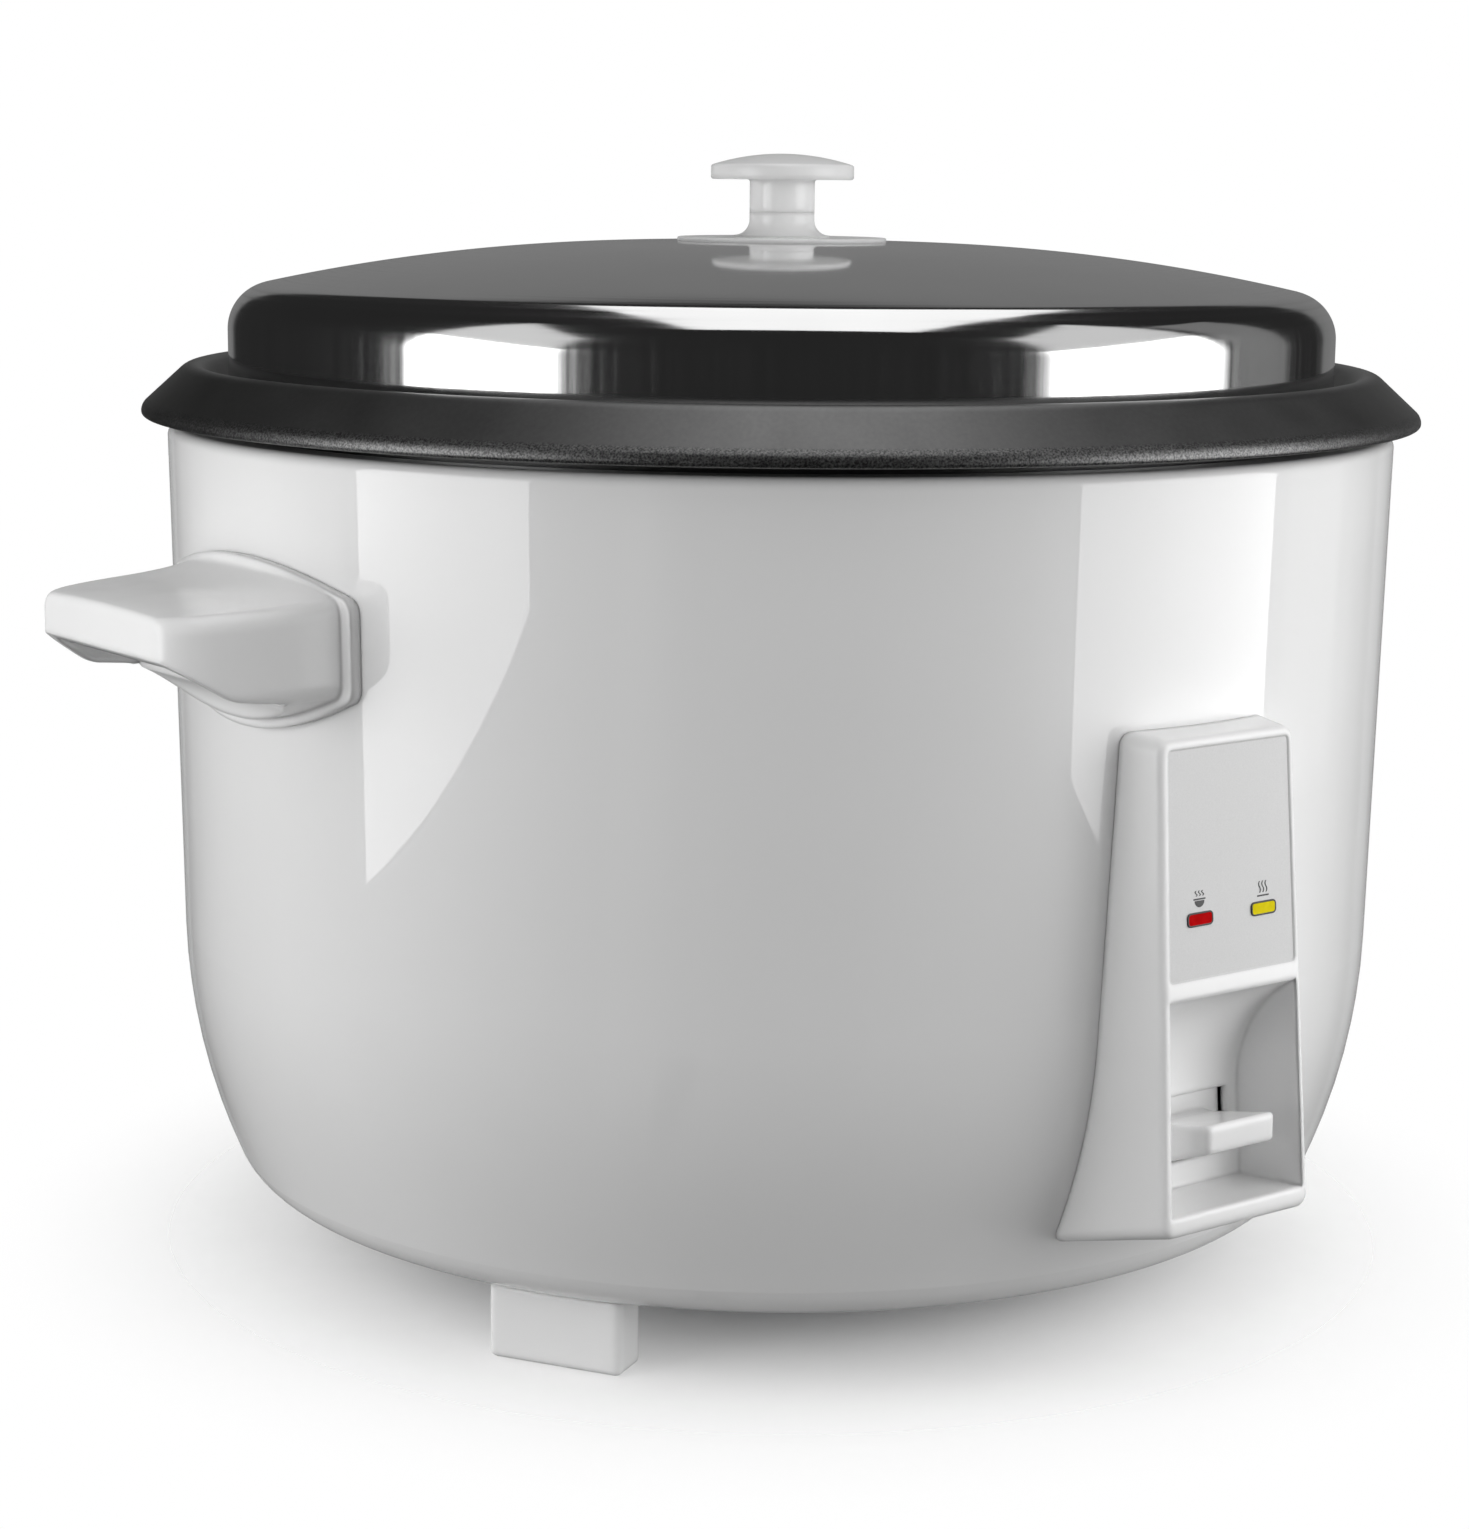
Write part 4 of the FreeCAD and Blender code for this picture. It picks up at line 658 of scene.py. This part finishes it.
def digit_mesh(text):
    """Flat raised figures, from the left and centred in height."""
    curve = bpy.data.curves.new("figures", "FONT")
    curve.body = text
    curve.size = LEVEL_DIGITS
    curve.extrude = LEVEL_PROUD
    curve.align_y = "CENTER"
    holder = bpy.data.objects.new("figures", curve)
    mesh = bpy.data.meshes.new_from_object(holder)
    bpy.data.objects.remove(holder)
    return mesh


def add_level_marks(material):
    """Raised lines and plain figures for each litre level in the pot."""
    bm = bmesh.new()
    length, width = LEVEL_LINE
    steps = [length * i / LEVEL_STEPS for i in range(LEVEL_STEPS + 1)]
    for litres in LEVEL_LITRES:
        z = POT_FLOOR_Z + LITRE * litres / (math.pi * POT_FLOOR_R ** 2)
        rings = []
        for x in steps:
            corners = ((z, -LEVEL_PROUD), (z, LEVEL_PROUD),
                       (z + width, LEVEL_PROUD), (z + width, -LEVEL_PROUD))
            rings.append([bm.verts.new(on_pot_wall(x - length, h, proud)) for h, proud in corners])
        join_rings(bm, rings, closed=False)
        bm.faces.new(rings[0])
        bm.faces.new(rings[-1])
        figures = digit_mesh(str(litres))
        for vertex in figures.vertices:
            x, y, out = vertex.co
            vertex.co = on_pot_wall(x + width, z + width / 2 + y, out)
        bm.from_mesh(figures)
        bpy.data.meshes.remove(figures)
    new_piece("level_marks", bm, "pot", material)


def on_panel(u, v, w):
    """Point on the panel: across, up along its face, and out of it."""
    up = Vector((0, math.sin(PANEL_TILT), math.cos(PANEL_TILT)))
    out = Vector((0, -math.cos(PANEL_TILT), math.sin(PANEL_TILT)))
    return PANEL_FOOT + Vector((u, 0, 0)) + v * up + w * out


def rounded_outline(top, bottom, high, low, radius):
    """Four rounded corners, whose centres have these half widths at the top and bottom and these heights."""
    corners = ((top, high), (-top, high), (-bottom, low), (bottom, low))
    points = []
    for i, corner in enumerate(corners):
        first = i * math.pi / 2
        points += arc(corner, radius, first, first + math.pi / 2, CORNER_STEPS)
    return points


def lamp_outline(grow):
    """Rounded rectangle round a lamp's window, grown by a margin."""
    half_u, half_v = (side / 2 - LAMP_CORNER_R for side in LAMP_SIZE)
    return rounded_outline(half_u, half_u, half_v, -half_v, LAMP_CORNER_R + grow)


def label_outline(grow):
    """Rounded outline of the label's pocket, which narrows upwards with the panel, grown by a margin."""
    def half(v):
        lean = (PANEL_HALF_TOP - PANEL_HALF_BOTTOM) / PANEL_V
        return PANEL_HALF_BOTTOM + lean * v - LABEL_MARGIN - LABEL_CORNER_R
    high = PANEL_V - LABEL_MARGIN - LABEL_CORNER_R
    low = LABEL_BOTTOM_V + LABEL_CORNER_R
    return rounded_outline(half(high), half(low), high, low, LABEL_CORNER_R + grow)


def add_label_edge(material):
    """Soft step from the panel's face down to the label, all round it."""
    bm = bmesh.new()
    sunk = 1.5 * LABEL_W
    section = ((0.2, sunk), (0.2, LABEL_EDGE_PROUD), (-0.2, 0.15 * LABEL_W), (-0.6, 0.5 * LABEL_W),
               (-1.0, 0.95 * LABEL_W), (-1.0, sunk))
    rings = []
    for share, w in section:
        outline = label_outline(share * LABEL_EDGE_WIDTH)
        rings.append([bm.verts.new(on_panel(u, v, w)) for u, v in outline])
    join_rings(bm, rings, closed=True)
    smooth(bm)
    new_piece("label_edge", bm, "base", material)


def add_bezel(name, middle_u, material):
    """Thin black frame round a lamp, with a rolled top."""
    bm = bmesh.new()
    sunk = LABEL_W - BEZEL_PROUD
    section = ((-0.1, sunk), (-0.1, 0.4 * BEZEL_PROUD), (0.2, BEZEL_PROUD),
               (0.7, BEZEL_PROUD), (1.0, 0.4 * BEZEL_PROUD), (1.0, sunk))
    rings = []
    for share, w in section:
        outline = lamp_outline(share * BEZEL_WIDTH)
        rings.append([bm.verts.new(on_panel(middle_u + u, LAMP_V + v, w)) for u, v in outline])
    join_rings(bm, rings, closed=True)
    new_piece(name, bm, "base", material)


def add_strip(bm, first, second):
    """Raised strip of ink on the label between two lines of points."""
    sunk, top = LABEL_W - SIGN_PROUD, LABEL_W + SIGN_PROUD
    rings = []
    for a, b in zip(first, second):
        corners = ((a, sunk), (a, top), (b, top), (b, sunk))
        rings.append([bm.verts.new(on_panel(*point, w)) for point, w in corners])
    join_rings(bm, rings, closed=False)
    bm.faces.new(rings[0])
    bm.faces.new(rings[-1])


def add_waves(bm, middle_u, ends):
    """Three upright wavy lines side by side, as of rising heat."""
    low, high = ends
    half = SIGN_LINE / 2
    steps = [i / WAVE_STEPS for i in range(WAVE_STEPS + 1)]
    for side in (-1, 0, 1):
        u = middle_u + side * WAVE_GAP
        line = [(u + WAVE_SWAY * math.sin(2 * math.pi * t), low + (high - low) * t) for t in steps]
        add_strip(bm, [(p - half, q) for p, q in line], [(p + half, q) for p, q in line])


def add_bar(bm, u, v):
    """Flat bar across a sign, as wide as a bowl with its brim."""
    add_strip(bm, [(u - BAR_HALF, v), (u + BAR_HALF, v)],
              [(u - BAR_HALF, v + SIGN_LINE), (u + BAR_HALF, v + SIGN_LINE)])


def add_signs(material):
    """Plain signs over the lamps: a bowl that steams, and heat over a plate."""
    bm = bmesh.new()
    rim_v = SIGN_V + BOWL_R
    under = list(arc((-LAMP_U, rim_v), BOWL_R, *BOWL_ENDS, BOWL_STEPS))
    add_strip(bm, under, [(u, rim_v) for u, v in under])
    add_bar(bm, -LAMP_U, rim_v + SIGN_LINE / 2)
    add_waves(bm, -LAMP_U, [rim_v + height for height in STEAM])
    new_piece("cook_sign", bm, "base", material)
    bm = bmesh.new()
    add_bar(bm, LAMP_U, SIGN_V)
    add_waves(bm, LAMP_U, [SIGN_V + height for height in HEAT])
    new_piece("warm_sign", bm, "base", material)


# Studio

def area_light(name, middle, across, upward, radiance, mirrored=True):
    """Rectangular light with these half sides that faces the drum, seen in reflections if mirrored."""
    data = bpy.data.lights.new(name, "AREA")
    data.shape = "RECTANGLE"
    data.size = 2 * across.length
    data.size_y = 2 * upward.length
    data.energy = radiance * math.pi * data.size * data.size_y
    light = bpy.data.objects.new(name, data)
    side, top = across.normalized(), upward.normalized()
    back = side.cross(top)
    if back.dot(middle - Vector((0, 0, LAMP_TARGET))) < 0:
        side, back = -side, -back
    light.matrix_world = Matrix((side, top, back)).transposed().to_4x4()
    light.location = middle
    light.visible_camera = False
    light.visible_glossy = mirrored
    bpy.context.scene.collection.objects.link(light)


def softbox(name, near, far, low, high, radiance, mirrored=True):
    """Upright light between two floor points in the camera's heading."""
    a, b = turn(*near, 0), turn(*far, 0)
    half = (high - low) / 2
    middle = (a + b) / 2 + Vector((0, 0, low + half))
    area_light(name, middle, (b - a) / 2, Vector((0, 0, half)), radiance, mirrored)


def side_softbox(name, near, far, low, radiance):
    """Softbox that is bright up to the lid's height and dimmer in reflections over it."""
    dim = SOFTBOX_DIM * radiance
    unseen = SOFTBOX_UNSEEN * (radiance - dim)
    softbox(name, near, far, low, SOFTBOX_SPLIT, radiance)
    softbox(name + "_upper", near, far, SOFTBOX_SPLIT, SOFTBOX_TOP, dim)
    softbox(name + "_unseen", near, far, SOFTBOX_SPLIT, SOFTBOX_TOP, unseen, mirrored=False)


def add_lights():
    """Two side softboxes, a dim card, fills that reflections don't show, and a softbox overhead."""
    side_softbox("left_softbox", *LEFT_SOFTBOX)
    side_softbox("right_softbox", *RIGHT_SOFTBOX)
    softbox("right_card", *RIGHT_CARD)
    for name, place in FILLS.items():
        softbox(name, *place, mirrored=False)
    across, along = OVERHEAD_HALF
    middle = turn(*OVERHEAD_MIDDLE)
    area_light("overhead_softbox", middle, turn(across, 0, 0), turn(0, along, 0), OVERHEAD_RADIANCE)


def add_world():
    """Dark room with a grey wall behind for reflections, white where the camera looks past the floor."""
    world = bpy.data.worlds.new("studio")
    world.use_nodes = True
    tree = world.node_tree
    tree.nodes.clear()
    output = tree.nodes.new("ShaderNodeOutputWorld")
    seen = tree.nodes.new("ShaderNodeBackground")
    seen.inputs["Color"].default_value = (1, 1, 1, 1)
    room = tree.nodes.new("ShaderNodeBackground")
    mix = tree.nodes.new("ShaderNodeMixShader")
    rays = tree.nodes.new("ShaderNodeLightPath")
    place = tree.nodes.new("ShaderNodeTexCoord")
    behind = tree.nodes.new("ShaderNodeVectorMath")
    behind.operation = "DOT_PRODUCT"
    behind.inputs[1].default_value = turn(*WALL_TOWARDS)
    ramp = tree.nodes.new("ShaderNodeValToRGB")
    for element, at, level in zip(ramp.color_ramp.elements, WALL_EDGE, (ROOM_GREY, WALL_GREY)):
        element.position = at
        element.color = (*grey(level), 1)
    links = tree.links
    links.new(place.outputs["Generated"], behind.inputs[0])
    links.new(behind.outputs["Value"], ramp.inputs["Fac"])
    links.new(ramp.outputs["Color"], room.inputs["Color"])
    links.new(rays.outputs["Is Camera Ray"], mix.inputs["Fac"])
    links.new(room.outputs["Background"], mix.inputs[1])
    links.new(seen.outputs["Background"], mix.inputs[2])
    links.new(mix.outputs["Shader"], output.inputs["Surface"])
    bpy.context.scene.world = world


def add_floor():
    """White disc whose edge fades into the white background."""
    mesh = bpy.data.meshes.new("floor")
    turns = [2 * math.pi * i / FLOOR_STEPS for i in range(FLOOR_STEPS)]
    ring = [(FLOOR_R * math.cos(t), FLOOR_R * math.sin(t), 0) for t in turns]
    mesh.from_pydata(ring, [], [list(range(FLOOR_STEPS))])
    floor = bpy.data.objects.new("floor", mesh)
    bpy.context.scene.collection.objects.link(floor)
    m = Shader("floor_paper", Roughness=0.8)
    m.colour(m.ramp(m.noise(60, 3), grey(0.90), grey(0.92)))
    distance = m.vector_math("LENGTH", m.place)["Value"]
    m.link(m.fall(distance, *FLOOR_FADE), m.surface.inputs["Alpha"])
    mesh.materials.append(m.material)


materials = slot_materials()
add_camera()
dress_nodes(materials)
add_lid(materials["lid_steel"])
add_drum_lip(materials["white_paint"])
add_pot(materials["pot_aluminium"])
add_spring(materials["plain_steel"])
add_level_marks(materials["label_grey"])
add_label_edge(materials["label_grey"])
add_bezel("cook_bezel", -LAMP_U, materials["black_plastic"])
add_bezel("warm_bezel", LAMP_U, materials["black_plastic"])
add_signs(materials["black_plastic"])
add_world()
add_floor()
add_lights()
bpy.context.scene.view_settings.view_transform = "Standard"
